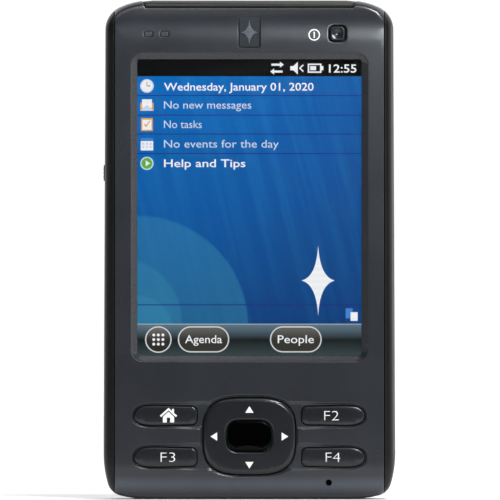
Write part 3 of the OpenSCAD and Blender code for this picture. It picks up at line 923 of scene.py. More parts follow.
def rear_edge(skin):
    """The flank of the rear shell, from its front edge to its rounded back edge."""
    step_y = BAND_BACK_Y + SEAM
    cap_back = CAP.high.y + SEAM
    rings = [at_depth(clamped(outline(0.12 * out), FACE_HALF - 0.12 * out, 0.12 * out), REAR_Y + 0.12 * down)
             for out, down in quarter(2)]
    rings.append(at_depth(clamped(outline(0), FACE_HALF), step_y))
    for inset, y in ((0.2, step_y), (0.06, step_y + 0.06), (0.0, step_y + 0.2), (0, cap_back)):
        rings.append(at_depth(clamped(outline(inset), 99), y))
    rings.append(at_depth(outline(0.15), cap_back))
    rings.append(at_depth(outline(0), cap_back + 0.12))
    for up, out in quarter(10):
        rings.append(at_depth(outline(BACK_EDGE_R * out), BACK_Y - BACK_EDGE_R * up))
    return skin.stack(rings)


def battery_bay(skin, inner_edge):
    """Recess of the battery door, with the battery's bay and an opening for its contacts. Returns its rim."""
    door_w, door_h = DOOR.size.x + 0.4, DOOR.size.z + 0.4
    bay = (0, BATTERY.mid.z, BATTERY.size.x + 1.2, BATTERY.size.z + 1.2, 1.6)
    shelf_y = DOOR.low.y - 0.1
    floor_y = BATTERY.low.y - 0.3
    ledge_y = BACK_Y - 2.45

    profile = [(0.25, BACK_Y), (0.15, BACK_Y), (0.05, BACK_Y - 0.05), (0, BACK_Y - 0.15), (0, shelf_y)]
    door_rim, shelf = skin.stack([at_depth(rounded_loop(0, DOOR.mid.z, door_w, door_h, 3.2, g), y)
                                  for g, y in profile])

    def step(loop, front, back):
        return skin.stack([at_depth(loop, front), at_depth(loop, back)])

    bay_rim, bay_floor = step(rounded_loop(*bay), shelf_y, floor_y)
    skin.fill(shelf, [bay_rim])
    contact_rim, contact_back = step(rounded_loop(0, 72.5, 14, 7, 0.5), floor_y, floor_y - 1)
    skin.fill(bay_floor, [contact_rim])
    bay_back, bay_root = step(rounded_loop(*bay, 1), floor_y - 1, ledge_y)
    skin.fill(bay_back, [contact_back])
    ledge_face, ledge_root = step(rounded_loop(0, 53, 57, 88, 2), ledge_y, BACK_Y - 1.5)
    skin.fill(ledge_face, [bay_root])
    skin.fill(inner_edge, [ledge_root])
    return door_rim


def back_recesses():
    """Blind recesses of the back: latch, screws and speaker holes, as (loop values, points, depth, edge)."""
    latch_w, latch_h = LATCH.size.x + 0.8, LATCH.size.z + 3.4
    latch_z = LATCH.mid.z + 1.3
    recesses = [((0, latch_z, latch_w, latch_h, 1.2), 6, LATCH.low.y - 0.1, 0.15)]
    recesses += [((x, z, 3.0, 3.0, 1.5), 8, BACK_Y - 1.2, 0.12) for x, z in SCREWS]
    for ring in range(3):
        count = max(1, 6 * ring)
        for k in range(count):
            x, z = polar(SPEAKER_AT, SPEAKER_PITCH * ring, 360 * k / count)
            recesses.append(((x, z, 1.0, 1.0, 0.5), 4, BACK_Y - 1.3, 0.08))
    return recesses


def rear_mouths():
    """Cutters for the sockets in the lower edge, and for the card slot and the stylus in the top."""
    jack = Box("headset_jack").mid
    foot, top = (-1, 1.65), (116, BODY_H + 1)
    return [block(Skin(), "z", (jack.x, jack.y), (4.6, 4.6), 2.3, *foot, n=10),
            block(Skin(), "z", (0, Box("sync_connector").mid.y), (21, 2.6), 0.5, *foot),
            block(Skin(), "z", (0, SLOT_Y), (43.2, 5.35), 0.4, *top),
            block(Skin(), "z", STYLUS.mid[:2], (4.0, 4.0), 2.0, *top, n=10)]


def make_rear_shell():
    skin = Skin()
    front_edge, back_edge = rear_edge(skin)
    inner = rounded_loop(0, mid(1.6, 116.6), 62, 115.0, 2.0)
    rim, inner_edge = skin.stack([at_depth(inner, REAR_Y), at_depth(inner, BACK_Y - 1.5)])
    skin.fill(front_edge, [rim])
    holes = [battery_bay(skin, inner_edge)]
    for shape, n, depth, edge in back_recesses():
        profile = [(edge * 1.3, BACK_Y), (edge, BACK_Y), (edge * 0.3, BACK_Y - edge * 0.3),
                   (0, BACK_Y - edge), (0, depth)]
        rim, bottom = skin.stack([at_depth(rounded_loop(*shape, g, n), y) for g, y in profile])
        holes.append(rim)
        skin.face(bottom)
    skin.fill(back_edge, holes, lambda x, z: BACK_Y, 4.0)
    piece = skin.done("rear_shell", CHARCOAL, "housing", "rear_housing", "housing_plastic")
    cut_out(piece, rear_mouths())


# ---- keys and pad


def make_button(name, loop_of, profile, material, slot, crown, edge, stem, step=1.0):
    """A closed button of its own body: a crowned face, a rounded edge, a profile of (grow, depth) pairs
    down to its back, and a stem given as its middle and radius."""
    skin = Skin()
    rings = [at_height(loop_of(-edge * out), crown, edge * down) for out, down in quarter(6)]
    rings += [at_depth(loop_of(grow), y) for grow, y in profile]
    face, back = skin.stack(rings)
    skin.fill(face, (), crown, step)
    (x, z), r = stem
    loop = rounded_loop(x, z, 2 * r, 2 * r, r)
    root, tip = skin.stack([at_depth(loop, profile[-1][1]), at_depth(loop, Box(name).high.y)])
    skin.fill(back, [root])
    skin.face(tip)
    piece_name = name.replace("_button", "") + "_cap"
    skin.done(piece_name, material, name, name, slot, angle=38)


def make_key(name, side, z):
    flange = INNER_Y + 0.15
    middle = side * (KEY_INNER + KEY_L / 2)
    wide = KEY_GAP + 0.35

    def crown(x, up):
        return TOP_Y + 0.10 * ((up - z) / (KEY_H / 2)) ** 2 + 0.05 * ((x - middle) / (KEY_L / 2)) ** 4

    make_button(name, lambda g: key_loop(side, z, g), [(0, flange), (wide, flange), (wide, flange + 0.6)],
                KEY_DARK, "key_plastic", crown, 0.42, ((middle, z), 1.0))


def make_ring():
    skin = Skin()

    def outer(g):
        return squircle(RING_W + 2 * g, RING_H + 2 * g, 120, RING_Z)

    def opening(g):
        return rounded_loop(0, RING_Z, SELECT_W + 2 * SELECT_GAP, SELECT_H + 2 * SELECT_GAP,
                            SELECT_R + SELECT_GAP, g, 10)

    def rounded_side(loop_of, edge, sign):
        rings = [at_depth(loop_of(sign * edge * out), TOP_Y + edge * down) for out, down in quarter(8)]
        return skin.stack(rings + [at_depth(loop_of(0), RING.high.y)])

    outer_top, outer_back = rounded_side(outer, 1.0, -1)
    inner_top, inner_back = rounded_side(opening, 0.35, 1)
    skin.fill(outer_top, [inner_top], lambda x, z: TOP_Y, 1.0)
    skin.fill(outer_back, [inner_back])
    skin.done("ring_cap", KEY_DARK, "nav_ring", "nav_ring", "key_plastic", angle=38)


def make_select():

    def dish(x, z):
        across, up = x / (SELECT_W / 2), (z - RING_Z) / (SELECT_H / 2)
        return SELECT.low.y + 0.08 * min(1, across ** 2 + up ** 2) ** 1.5

    make_button("select_button", lambda g: rounded_loop(0, RING_Z, SELECT_W, SELECT_H, SELECT_R, g, 10),
                [(0, SELECT.high.y - 1.35)], GLOSS, "select_gloss", dish, 0.4, ((0, RING_Z), 1.0), 0.7)


def make_power():
    flange = INNER_Y + 0.7

    def dimple(x, z):
        away = math.hypot(x - POWER_X, z - POWER_Z)
        return FACE_Y + 0.3 * math.exp(-(away / 0.9) ** 2)

    shape = (POWER_X, POWER_Z, POWER_W - 0.1, POWER_H - 0.1, 0.85)
    make_button("power_button", lambda g: rounded_loop(*shape, g),
                [(0, flange), (0.45, flange), (0.45, flange + 0.4)], KEY_DARK, "key_plastic", dimple, 0.3,
                ((POWER_X, POWER_Z - 0.8), 0.7), 0.35)


def make_side_button():
    skin = Skin()
    block(skin, "x", (SIDE_Y, SIDE_Z), (2.6, 4.0), 0.8, SIDE.low.x, SIDE_STEM_X, 0.35)
    block(skin, "x", (SIDE_Y, SIDE_Z), (1.1, 1.3), 0.2, SIDE_STEM_X, SIDE.high.x)
    front = SIDE.low.x
    for k in (-1, 0, 1):
        block(skin, "x", (SIDE_Y, SIDE_Z + 0.9 * k), (1.5, 0.3), 0.14, front - 0.06, front + 0.1, 0.03)
    skin.done("side_button_cap", BLACK, "side_button", "side_button", "key_plastic", angle=38)


# ---- cap, stylus, door, latch, badge, lenses


def cap_section(grow):
    """The slot cap seen from the front: flat below and on top, with rounded ends."""
    floor = BODY_H - 1.65
    points = arc((24.75, floor + 0.35), 0.35 + grow, -90, -46, 4)
    points += arc((25.2, BODY_H - 0.62), 0.45 + grow, -25, 65, 6)
    points = [(min(x, 25.75 + grow), z) for x, z in points]
    points.append((24.5, BODY_H - 0.12 + grow))
    points += [(x, BODY_H + grow) for x in (23.2, 12, 0)]
    return both_halves([(0, floor - grow), (12, floor - grow)] + points)


def make_slot_cap():
    skin = Skin()
    edge = 0.55
    front, back = CAP.low.y, CAP.high.y
    rings = [at_depth(cap_section(-edge * out), front + edge * down) for out, down in quarter(6)]
    skin.solid(rings + [at_depth(cap_section(0), back - 0.15), at_depth(cap_section(-0.15), back)])
    block(skin, "z", (0, SLOT_Y), (41, 4.2), 0.8, CAP.low.z, BODY_H - 1.45, 0.5)
    skin.done("slot_cap_moulding", CAP_BROWN, "slot_cap", "slot_cap", "cap_plastic", angle=38)


def make_stylus():
    """A turned barrel: tip, eight grip grooves and a head, as pairs of radius and height."""
    skin = Skin()
    r, low, high = STYLUS.size.x / 2, STYLUS.low.z, STYLUS.high.z
    profile = [(0.28, low), (0.45, low + 0.12), (0.55, low + 0.5), (0.75, low + 2.0), (0.85, low + 2.1),
               (r - 0.1, low + 6.6), (r - 0.02, low + 7.0)]
    for k in range(8):
        z = low + 9 + 1.2 * k
        profile += [(r - 0.02, z), (r - 0.2, z + 0.15), (r - 0.2, z + 0.45), (r - 0.02, z + 0.6)]
    profile += [(r - 0.02, high - 6.6), (r - 0.25, high - 6.4), (r - 0.25, high - 6.0), (r, high - 5.8)]
    profile += [(r, high - 0.8), (r - 0.1, high - 0.35), (r - 0.35, high - 0.1), (r - 0.75, high)]
    skin.solid([[(*polar(STYLUS.mid, radius, 9 * k), z) for k in range(40)] for radius, z in profile])
    skin.done("stylus_barrel", BLACK, "stylus", "stylus", "black_plastic", angle=30)


def make_door():
    """The battery door, with a grip of seven grooves and a shallow panel in its back."""
    skin = Skin()
    outside = (0, DOOR.mid.z, DOOR.size.x, DOOR.size.z, 3)
    top, edge = DOOR.high.y, 0.3
    rings = [at_depth(rounded_loop(*outside, -edge * out), top - edge * down) for out, down in quarter(4)]
    face, back = skin.stack(rings + [at_depth(rounded_loop(*outside), DOOR.low.y)])
    holes = []
    for k in range(7):
        shape = (0, DOOR.low.z + 7 + 1.7 * k, 26 - 1.2 * abs(k - 3), 0.8, 0.39)
        rim, floor = skin.stack([at_depth(rounded_loop(*shape, grow), top - down)
                                 for grow, down in ((0.18, 0), (0.06, 0.03), (0, 0.12), (-0.1, 0.32))])
        holes.append(rim)
        skin.face(floor)
    rim, floor = skin.stack([at_depth(rounded_loop(0, 52, 38, 24, 1.5, grow), top - down)
                             for grow, down in ((0.3, 0), (0.1, 0.04), (0, 0.15))])
    skin.fill(floor)
    skin.fill(face, holes + [rim], lambda x, z: top, 5.0)
    skin.face(back)
    skin.done("battery_door_panel", CHARCOAL, "battery_door", "battery_door", "housing_plastic", angle=38)


def make_latch():
    skin = Skin()
    z, top = LATCH.mid.z, LATCH.high.y
    size = (LATCH.size.x, LATCH.size.z)
    block(skin, "y", (0, z), size, 1.0, top - 0.3, LATCH.low.y, 0.25)
    for k in (-1, 0, 1):
        block(skin, "y", (0, z + 1.8 * k), (8, 0.8), 0.38, top, top - 0.45, 0.2)
    skin.done("latch_slide_cap", KEY_DARK, "door_latch", "door_latch", "key_plastic", angle=38)


def star(cx, cz, w, h, pinch, n=5):
    """A four-point star with curved sides."""
    tips = [(w / 2, 0), (0, h / 2), (-w / 2, 0), (0, -h / 2)]
    points = []
    for (x0, z0), (x1, z1) in zip(tips, tips[1:] + tips[:1]):
        for t in (k / n for k in range(n)):
            first, between, last = (1 - t) ** 2, 2 * t * (1 - t) * pinch, t * t
            points.append((cx + first * x0 + between * (x0 + x1) + last * x1,
                           cz + first * z0 + between * (z0 + z1) + last * z1))
    return points


def make_badge():
    size = (PLATE.size.x, PLATE.size.z)
    panel = block(Skin(), "y", (0, BADGE_Z), size, 0.35, PLATE.low.y, PLATE.high.y, 0.12)
    panel.done("badge_panel", BADGE, "housing", "badge_plate", "badge_metal")
    relief = Skin()
    slab(relief, lambda g: star(0, BADGE_Z, 3.9 + 2 * g, 6.0 + 2 * g, 0.12), "y", PLATE.low.y - 0.16,
         PLATE.low.y + 0.1, 0.1)
    relief.done("badge_star", BADGE_LIGHT, "housing", "badge_plate", "badge_metal")


def make_lenses():
    skin = Skin()
    for x in LED_X:
        block(skin, "y", (x, LED_Z), (2.1, 1.3), 0.45, LED.low.y, LED.high.y, 0.25)
    skin.done("indicator_lenses", LENS, "housing", "led_light_pipes", "light_pipe")


def make_shade_felt():
    """Felt behind the microphone hole, near black: a dark disc that stands in for the shade at the bottom of
    the hole.
    """
    skin = block(Skin(), "y", MIC_AT, (1.4, 1.4), 0.7, INNER_Y - 0.25, INNER_Y - 0.05, 0.05)
    skin.done("microphone_felt", SHADE_FELT, "housing")


# ---- printing on the keys and the face


def print_on(name, polygons, y, body, material=GLOWING_PRINT, depth=0.05, surface=None):
    """Thin printed shapes that stand a hair proud of depth y, or of a curved surface."""
    skin = Skin()
    for loop in polygons:
        slab(skin, lambda g: loop, "y", y, y + depth)
    if surface:
        for v in skin.bm.verts:
            v.co.y += (surface(v.co.x / MM, v.co.z / MM) - 0.015) * MM
    skin.done(name, material, body, slot=None, smooth=False)


def lettering(name, words, place, height, y, body, width, material=GLOWING_PRINT, bold=0.0, left=False, depth=0.05):
    """Words set in plain type at a place: a middle, or the left end. height is that of a capital."""
    curve = bpy.data.curves.new(name, "FONT")
    curve.body = words
    curve.size = 1.0
    curve.offset = bold
    curve.resolution_u = 3
    made = placed(name, curve)
    mesh = bpy.data.meshes.new_from_object(made.evaluated_get(bpy.context.evaluated_depsgraph_get()))
    bpy.data.objects.remove(made)
    bm = bmesh.new()
    bm.from_mesh(mesh)
    low = min(v.co.x for v in bm.verts)
    high = max(v.co.x for v in bm.verts)
    start = low if left else mid(low, high)
    across, up = width / (high - low), height / 0.69
    for v in bm.verts:
        v.co = Vector((place[0] + (v.co.x - start) * across, y, place[1] + v.co.y * up)) * MM
    grown = bmesh.ops.extrude_face_region(bm, geom=bm.faces)
    for v in grown["geom"]:
        if isinstance(v, bmesh.types.BMVert):
            v.co.y += depth * MM
    bmesh.ops.recalc_face_normals(bm, faces=bm.faces)
    settle(placed(name, mesh_from(name, bm)), material, body, smooth=False)


def arrow(cx, cz, dx, dz):
    """A triangle 1.6 long and 2 wide that points along (dx, dz)."""
    tip, foot = (cx + dx * 0.8, cz + dz * 0.8), (cx - dx * 0.8, cz - dz * 0.8)
    return [tip, (foot[0] - dz, foot[1] + dx), (foot[0] + dz, foot[1] - dx)]


def house(cx, cz):
    """A small house: roof with a chimney, walls and a door."""
    roof = [(-2.1, -0.05), (-1.75, -0.35), (0, 1.25), (1.75, -0.35), (2.1, -0.05), (1.3, 0.68), (1.3, 1.6),
            (0.85, 1.6), (0.85, 1.09), (0, 1.87)]
    walls = [(-1.35, -0.3), (-1.35, -1.65), (-0.4, -1.65), (-0.4, -0.5), (0.4, -0.5), (0.4, -1.65),
             (1.35, -1.65), (1.35, -0.3), (0, 0.93)]
    return [[(cx + x, cz + z) for x, z in loop] for loop in (roof, walls)]


def make_printing():
    top = TOP_Y - 0.01
    print_on("home_sign", house(-19.45, UPPER_Z - 0.02), top, "key_home")
    for words, x, z in (("F2", 19.75, UPPER_Z), ("F3", -19.6, LOWER_Z), ("F4", 20.1, LOWER_Z)):
        lettering(words + "_sign", words, (x, z - 1.2), 2.35, top, "key_" + words.lower(), 3.5, bold=-0.018)
    arrows = [arrow(0, RING_Z + 6.4, 0, 1), arrow(0, RING_Z - 7.0, 0, -1), arrow(-8.55, RING_Z - 0.1, -1, 0),
              arrow(8.55, RING_Z - 0.1, 1, 0)]
    print_on("ring_arrows", arrows, top, "nav_ring")
    centre = (15.6, 111.7)
    circle = arc(centre, 1.4, 90.5, 449.5, 40) + arc(centre, 1.12, 449.5, 90.5, 40)
    stroke = [(15.46, 110.95), (15.74, 110.95), (15.74, 112.45), (15.46, 112.45)]
    print_on("power_sign", [circle, stroke], 0.0, "housing", surface=face_height)


# ---- display


def make_glass():
    size = (PANEL.size.x, PANEL.size.z)
    skin = block(Skin(), "y", (0, SCREEN_Z), size, 0.8, PANEL.low.y, PANEL.high.y, 0.1)
    skin.done("touch_glass", GLASS, "housing", "touch_panel", "touch_glass")


def on_screen(u, v):
    """A place on the picture, counted right and down from its top left corner."""
    return SCREEN_LEFT + u, SCREEN_TOP - v


def tile(name, loop, layer, material):
    """A flat shape of the picture, on a layer in front of it."""
    print_on(name, [loop], PICTURE_Y - LAYER * layer, "housing", material, depth=LAYER / 2)


def screen_words(name, words, u, v, height, width, ink, bold=0.0, left=True, layer=2):
    lettering(name, words, on_screen(u, v), height, PICTURE_Y - LAYER * layer, "housing", width, INKS[ink],
              bold, left, LAYER / 2)


def panel_loop(u0, v0, u1, v1, r=0.01, n=6):
    x0, z0 = on_screen(u0, v0)
    x1, z1 = on_screen(u1, v1)
    return rounded_loop(mid(x0, x1), mid(z0, z1), x1 - x0, z0 - z1, r, 0.0, n)


def full_width(v0, v1):
    """A strip across the picture, which runs a little behind the rim."""
    return panel_loop(-0.8, v0, SCREEN_W + 0.8, v1)


def wallpaper():
    """Blue gradient with slanting streaks of light and soft discs low on the left."""
    p = Paint("wallpaper", (0, 0, 0), 0.4, specular=0.1)
    split = p.axes(p.place)
    left, top = SCREEN_LEFT * MM, SCREEN_TOP * MM
    down = p.spread(split["Z"], top, top - SCREEN_H * MM)
    across = p.spread(split["X"], left, -left)
    base = p.blend(down, (0.0005, 0.145, 0.52), (0.0015, 0.036, 0.16))
    base = p.blend(p.spread(across, 0.25, 1.0, 0.0, 0.4), base, (0.003, 0.035, 0.17))
    turned = p.mapped(p.place, Rotation=(0, math.radians(14), 0))
    streaks = p.node("ShaderNodeTexNoise", Scale=1.0, Detail=5.0, Roughness=0.65,
                     Vector=p.mapped(turned, Scale=(330, 1, 16)))
    light = p.spread(streaks.outputs["Fac"], 0.45, 0.78)
    glow = p.maths("MULTIPLY", light, p.spread(down, 0.12, 0.85, 0.30, 0.10))
    tone = p.blend(glow.outputs[0], base, (0.03, 0.30, 0.72))
    flat = p.node("ShaderNodeCombineXYZ", X=split["X"], Z=split["Z"]).outputs[0]
    for u, v, r, strength, soft in ((0.0, 64.2, 26.6, 0.26, 0.25), (-4.3, 62.8, 14.9, 0.20, 0.25),
                                    (0.0, 65.2, 8.4, 0.22, 0.2)):
        x, z = on_screen(u, v)
        away = p.maths("DISTANCE", flat, (x * MM, 0, z * MM), kind="ShaderNodeVectorMath").outputs["Value"]
        disc = p.spread(away, (r + soft) * MM, (r - soft) * MM, 0.0, strength)
        tone = p.blend(disc, tone, (0.045, 0.30, 0.46))
    return p.glow(tone)


def bar_paint(name, top, middle, bottom, v0, v1):
    """A glossy bar of the picture: light at the top, near black in the middle, lighter at the foot."""
    p = Paint(name, (0, 0, 0), 0.4, specular=0.1)
    down = p.spread(p.axes(p.place)["Z"], (SCREEN_TOP - v0) * MM, (SCREEN_TOP - v1) * MM)
    upper = p.blend(p.spread(down, 0.0, 0.5), top, middle)
    return p.glow(p.blend(p.spread(down, 0.5, 1.0), upper, bottom))


INKS = {name: lit("picture_" + name, colour) for name, colour in (
    ("black", (0.0015, 0.0015, 0.002)), ("white", (0.86, 0.88, 0.9)), ("pale", (0.60, 0.68, 0.78)),
    ("line", (0.012, 0.02, 0.22)), ("green", (0.10, 0.42, 0.05)), ("orange", (0.80, 0.36, 0.06)),
    ("grey", (0.42, 0.46, 0.5)), ("blue", (0.05, 0.22, 0.62)))}


def make_picture():
    tile("picture_wallpaper", full_width(-0.8, SCREEN_H + 0.8), 0, wallpaper())
    tile("status_bar", full_width(-0.8, 4.05), 1, INKS["black"])
    bar = bar_paint("bar_shade", (0.105, 0.17, 0.22), (0.008, 0.011, 0.012), (0.035, 0.055, 0.06), 63.75,
                    SCREEN_H)
    tile("menu_bar", full_width(63.75, SCREEN_H + 0.8), 1, bar)
    tile("menu_bar_light", full_width(63.6, 63.78), 2, INKS["grey"])
    for k, v in enumerate((8.7, 13.4, 17.95, 22.65, 59.05)):
        tile("rule_%d" % k, full_width(v - 0.11, v + 0.11), 1, INKS["line"])
    rows = [("Wednesday, January 01, 2020", 7.48, 36.0, 0.009, "white"),
            ("No new messages", 11.83, 21.0, 0, "pale"), ("No tasks", 16.5, 9.1, 0, "pale"),
            ("No events for the day", 21.2, 27.6, 0, "pale"), ("Help and Tips", 25.88, 19.6, 0.009, "white")]
    for k, (words, v, width, bold, ink) in enumerate(rows):
        screen_words("row_%d" % k, words, 6.4, v, 1.85, width, ink, bold)
    screen_words("clock_text", "12:55", 46.1, 3.13, 1.93, 6.6, "white", 0.01)
    tile("wallpaper_star", star(*on_screen(43.5, 53.2), 8.0, 17.0, 0.1, 8), 1, INKS["white"])


def circle(r, n=32):
    return [(r * math.cos(2 * math.pi * k / n), r * math.sin(2 * math.pi * k / n)) for k in range(n)]


def box_loop(x0, z0, x1, z1):
    return [(x0, z0), (x1, z0), (x1, z1), (x0, z1)]


def icon(name, u, v, parts):
    """Flat shapes about a place on the picture, as (name, outline, layer, ink or material)."""
    x, z = on_screen(u, v)
    for part, loop, layer, ink in parts:
        tile(name + part, [(x + a, z + b) for a, b in loop], layer, INKS.get(ink, ink))


def make_row_icons():
    icon("icon_clock_", 2.3, 6.37, [
        ("rim", circle(1.65), 2, "pale"), ("face", circle(1.35), 3, "white"),
        ("hand", box_loop(-0.12, -0.05, 0.12, 1.0), 4, "orange"),
        ("arm", box_loop(-0.05, -0.12, 0.85, 0.12), 4, "blue")])
    icon("icon_mail_", 2.3, 11.04, [
        ("back", box_loop(-1.6, -1.3, 1.6, 0.6), 2, "orange"),
        ("sheet", box_loop(-1.2, -0.6, 1.2, 1.45), 3, "white"),
        ("fold", [(-1.6, -1.3), (1.6, -1.3), (0, 0.1)], 4, "pale")])
    tick = [(-0.75, 0.0), (-0.2, -0.75), (0.85, 0.75), (0.6, 0.9), (-0.2, -0.25), (-0.5, 0.2)]
    icon("icon_task_", 2.3, 15.6, [
        ("board", box_loop(-1.4, -1.6, 1.4, 1.5), 2, "orange"),
        ("sheet", box_loop(-1.1, -1.3, 1.1, 1.1), 3, "white"), ("tick", tick, 4, "orange")])
    days = [(-0.9 + 0.9 * (k % 3), 0.15 - 0.85 * (k // 3)) for k in range(6)]
    icon("icon_day_", 2.3, 20.4, [
        ("sheet", box_loop(-1.5, -1.5, 1.5, 1.5), 2, "white"),
        ("head", box_loop(-1.5, 0.75, 1.5, 1.5), 3, "blue"),
        *((str(k), box_loop(a - 0.28, b - 0.28, a + 0.28, b + 0.28), 3, "pale")
          for k, (a, b) in enumerate(days))])
    icon("icon_help_", 2.3, 25.0, [
        ("rim", circle(1.6), 2, "pale"), ("face", circle(1.3), 3, "green"),
        ("arrow", [(-0.3, -0.7), (0.8, 0.0), (-0.3, 0.7)], 4, "white")])


def make_status_icons():
    """Two arrows, a muted loudspeaker and a battery in the status bar, and two sheets above the menu."""
    left = [(-1.53, 0), (-0.595, 0.7225), (-0.595, 0.255), (1.445, 0.255), (1.445, -0.255), (-0.595, -0.255),
            (-0.595, -0.7225)]
    horn = [(-1.4, -0.5), (-0.7, -0.5), (0.4, -1.5), (0.4, 1.5), (-0.7, 0.5), (-1.4, 0.5)]
    mute = [(-0.3, -0.12), (0.5, -0.9), (0.75, -0.7), (0.0, 0.0), (0.75, 0.7), (0.5, 0.9), (-0.3, 0.12)]
    icon("status_", 33.5, 2.9, [("in", left, 2, "white")])
    icon("status_", 33.7, 1.25, [("out", [(-a, b) for a, b in left], 2, "white")])
    icon("status_", 38.2, 2.1, [("horn", horn, 2, "white")])
    icon("status_", 39.3, 2.1, [("mute", mute, 2, "white")])
    icon("status_cell", 42.8, 2.1, [
        ("", box_loop(-1.8, -1.1, 1.5, 1.1), 2, "white"),
        ("_gap", box_loop(-1.45, -0.78, 1.15, 0.78), 3, "black"),
        ("_fill", box_loop(-1.2, -0.5, 0.2, 0.5), 4, "white"),
        ("_end", box_loop(1.5, -0.5, 1.95, 0.5), 2, "white")])
    icon("icon_sheet_", 51.2, 61.1, [("back", box_loop(-1.1, -1.2, 0.6, 1.2), 2, "blue")])
    icon("icon_sheet_", 52.2, 61.7, [("front", box_loop(-0.9, -1.2, 0.8, 0.9), 3, "white")])


def make_menu():
    """The round button with nine dots, and two rounded labels."""
    top, foot = 64.2, 70.5
    pill = bar_paint("pill_shade", (0.13, 0.13, 0.12), (0.032, 0.031, 0.026), (0.035, 0.034, 0.027),
                     top, foot)
    rim = lit("pill_rim", (0.62, 0.65, 0.66))
    ball = bar_paint("ball_shade", (0.16, 0.16, 0.15), (0.028, 0.027, 0.022), (0.02, 0.019, 0.015), top, 70.6)
    icon("menu_ball", 5.04, 67.4, [("_rim", circle(3.2, 48), 3, rim), ("", circle(2.9, 48), 4, ball)])
    for k in range(9):
        dot = [(-1.1 + 1.1 * (k % 3) + a, -1.1 + 1.1 * (k // 3) + b) for a, b in circle(0.36, 12)]
        icon("menu_dot_", 5.04, 67.4, [(str(k), dot, 5, "white")])
    labels = [("left", "Agenda", 9.74, 22.1, 8.9), ("right", "People", 31.9, 44.35, 8.7)]
    for name, words, u0, u1, width in labels:
        tile("pill_rim_" + name, panel_loop(u0, top, u1, foot, 3.1, 10), 3, rim)
        tile("pill_" + name, panel_loop(u0 + 0.3, 64.5, u1 - 0.3, 70.2, 2.82, 10), 4, pill)
        screen_words("pill_text_" + name, words, mid(u0, u1), 68.25, 1.9, width, "white", 0.004, False,
                     65 / 12)


# ---- finishes of the parts inside

INSIDE = {
    "lcd_module": BLACK, "display_gasket": FOAM, "mid_frame": CAST, "main_board": BOARD, "shield_can": STEEL,
    "backup_cell": STEEL, "keypad_board": BOARD, "indicator_board": BOARD, "dome_switches": STEEL,
    "nav_gimbal": STEEL, "side_switch": STEEL, "microphone": STEEL, "speaker": BLACK, "headset_jack": BLACK,
    "sync_connector": STEEL, "card_slot": STEEL, "stylus_tube": BLACK, "battery": WRAP,
    "battery_contacts": GOLD, "wlan_antenna": AMBER, "case_screws": STEEL,
}


def finish_inside():
    for node, material in INSIDE.items():
        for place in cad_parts[node].material_slots:
            place.material = material


# ---- camera, lights and floor

FRAME_H = BODY_H * 500 / 499
CAMERA_AWAY = 4000
SENSOR_W = 36


def make_camera():
    data = bpy.data.cameras.new("camera")
    data.sensor_width = SENSOR_W
    data.lens = SENSOR_W * (CAMERA_AWAY + FACE_Y) / FRAME_H
    data.clip_start, data.clip_end = 0.05, 50
    camera = placed("camera", data)
    camera.location = Vector((0.15, -CAMERA_AWAY, BODY_H / 2 - 0.05)) * MM
    camera.rotation_euler = (math.pi / 2, 0, 0)
    bpy.context.scene.camera = camera


def make_floor():
    """A wide pale floor, which falls away gently well in front of the object."""
    skin = Skin()
    columns = [-4500, -1500, -400, 0, 400, 1500, 4500]
    rows = [(-3000, -500), (-400, -36), (-240, -9), (-190, -3), (-140, 0), (0, 0), (300, 0), (1200, 0),
            (4500, 0)]
    lines = [skin.ring([(x, y, z) for x in columns]) for y, z in rows]
    for a, b in zip(lines, lines[1:]):
        skin.wall(a, b, closed=False)
    mesh = mesh_from("floor", skin.bm)
    p = Paint("floor_white", (0.86, 0.86, 0.86), 0.6, specular=0.2)
    p.set("Base Color", p.blend(p.noise(8, 2.0), (0.85, 0.85, 0.85), (0.88, 0.88, 0.88)))
    mesh.materials.append(p.material)
    mesh.polygons.foreach_set("use_smooth", [True] * len(mesh.polygons))
    placed("floor", mesh)


def area_light(name, place, target, size, power, colour=(1, 1, 1)):
    data = bpy.data.lights.new(name, "AREA")
    data.shape = "RECTANGLE"
    data.size, data.size_y = size[0] * MM, size[1] * MM
    data.energy = power
    data.color = colour
    light = placed(name, data)
    light.location = Vector(place) * MM
    light.rotation_euler = (Vector(target) - Vector(place)).to_track_quat("-Z", "Y").to_euler()


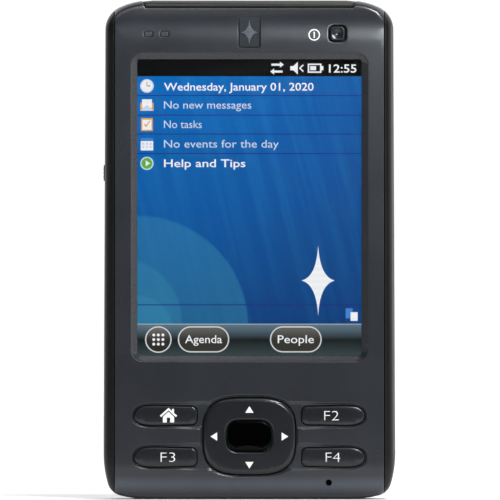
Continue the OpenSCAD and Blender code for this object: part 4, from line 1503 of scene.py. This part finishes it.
def sun_light(name, towards, power, angle):
    data = bpy.data.lights.new(name, "SUN")
    data.energy = power
    data.angle = math.radians(angle)
    placed(name, data).rotation_euler = Vector(towards).to_track_quat("Z", "Y").to_euler()


def make_world():
    """A white studio wall behind the object and a dim room in front of it, before a white backdrop."""
    backdrop, room = 1.04, 0.07
    world = bpy.data.worlds.new("studio")
    bpy.context.scene.world = world
    world.use_nodes = True
    n = Nodes(world.node_tree)
    around = n.coords["Generated"]
    tilted = n.maths("DOT_PRODUCT", around, (0.2, 1.0, -0.07), kind="ShaderNodeVectorMath").outputs["Value"]
    rise = n.spread(n.axes(around)["Z"], 0.1, 0.5, backdrop, 1.7)
    mixed = n.node("ShaderNodeMix", Factor=n.spread(tilted, -0.12, 0.2), A=room, B=rise).outputs["Result"]
    seen = n.node("ShaderNodeLightPath").outputs["Is Camera Ray"]
    shown = n.node("ShaderNodeMix", Factor=seen, A=mixed, B=backdrop).outputs["Result"]
    background = n.tree.nodes["Background"]
    n.feed(background.inputs["Strength"], shown)
    n.feed(background.inputs["Color"], (1, 1, 1))


def make_lights():
    middle = (0, 0, BODY_H / 2)
    sun_light("key", (0.3, -0.6, 1.0), 1.9, 14)
    area_light("front_top", (260, -800, 350), middle, (560, 170), 0.6)
    area_light("over_floor", (-60, -110, 270), (-25, -40, 0), (160, 60), 0.06)
    area_light("upper_right", (97, -360, 175), (20, -9, 90), (60, 60), 0.46, (0.9, 0.97, 1.0))
    area_light("right", (760, 300, 120), middle, (260, 420), 1.6)
    area_light("right_front", (780, -210, 140), middle, (120, 420), 0.45)


make_front_shell()
make_side_bands()
make_rear_shell()
for key, (key_side, key_z) in KEYS.items():
    make_key(key, key_side, key_z)
make_ring()
make_select()
make_power()
make_side_button()
make_shade_felt()
make_slot_cap()
make_stylus()
make_door()
make_latch()
make_badge()
make_lenses()
make_printing()
make_glass()
make_picture()
make_row_icons()
make_status_icons()
make_menu()
finish_inside()
make_camera()
make_floor()
make_world()
make_lights()
bpy.context.scene.view_settings.view_transform = "Standard"
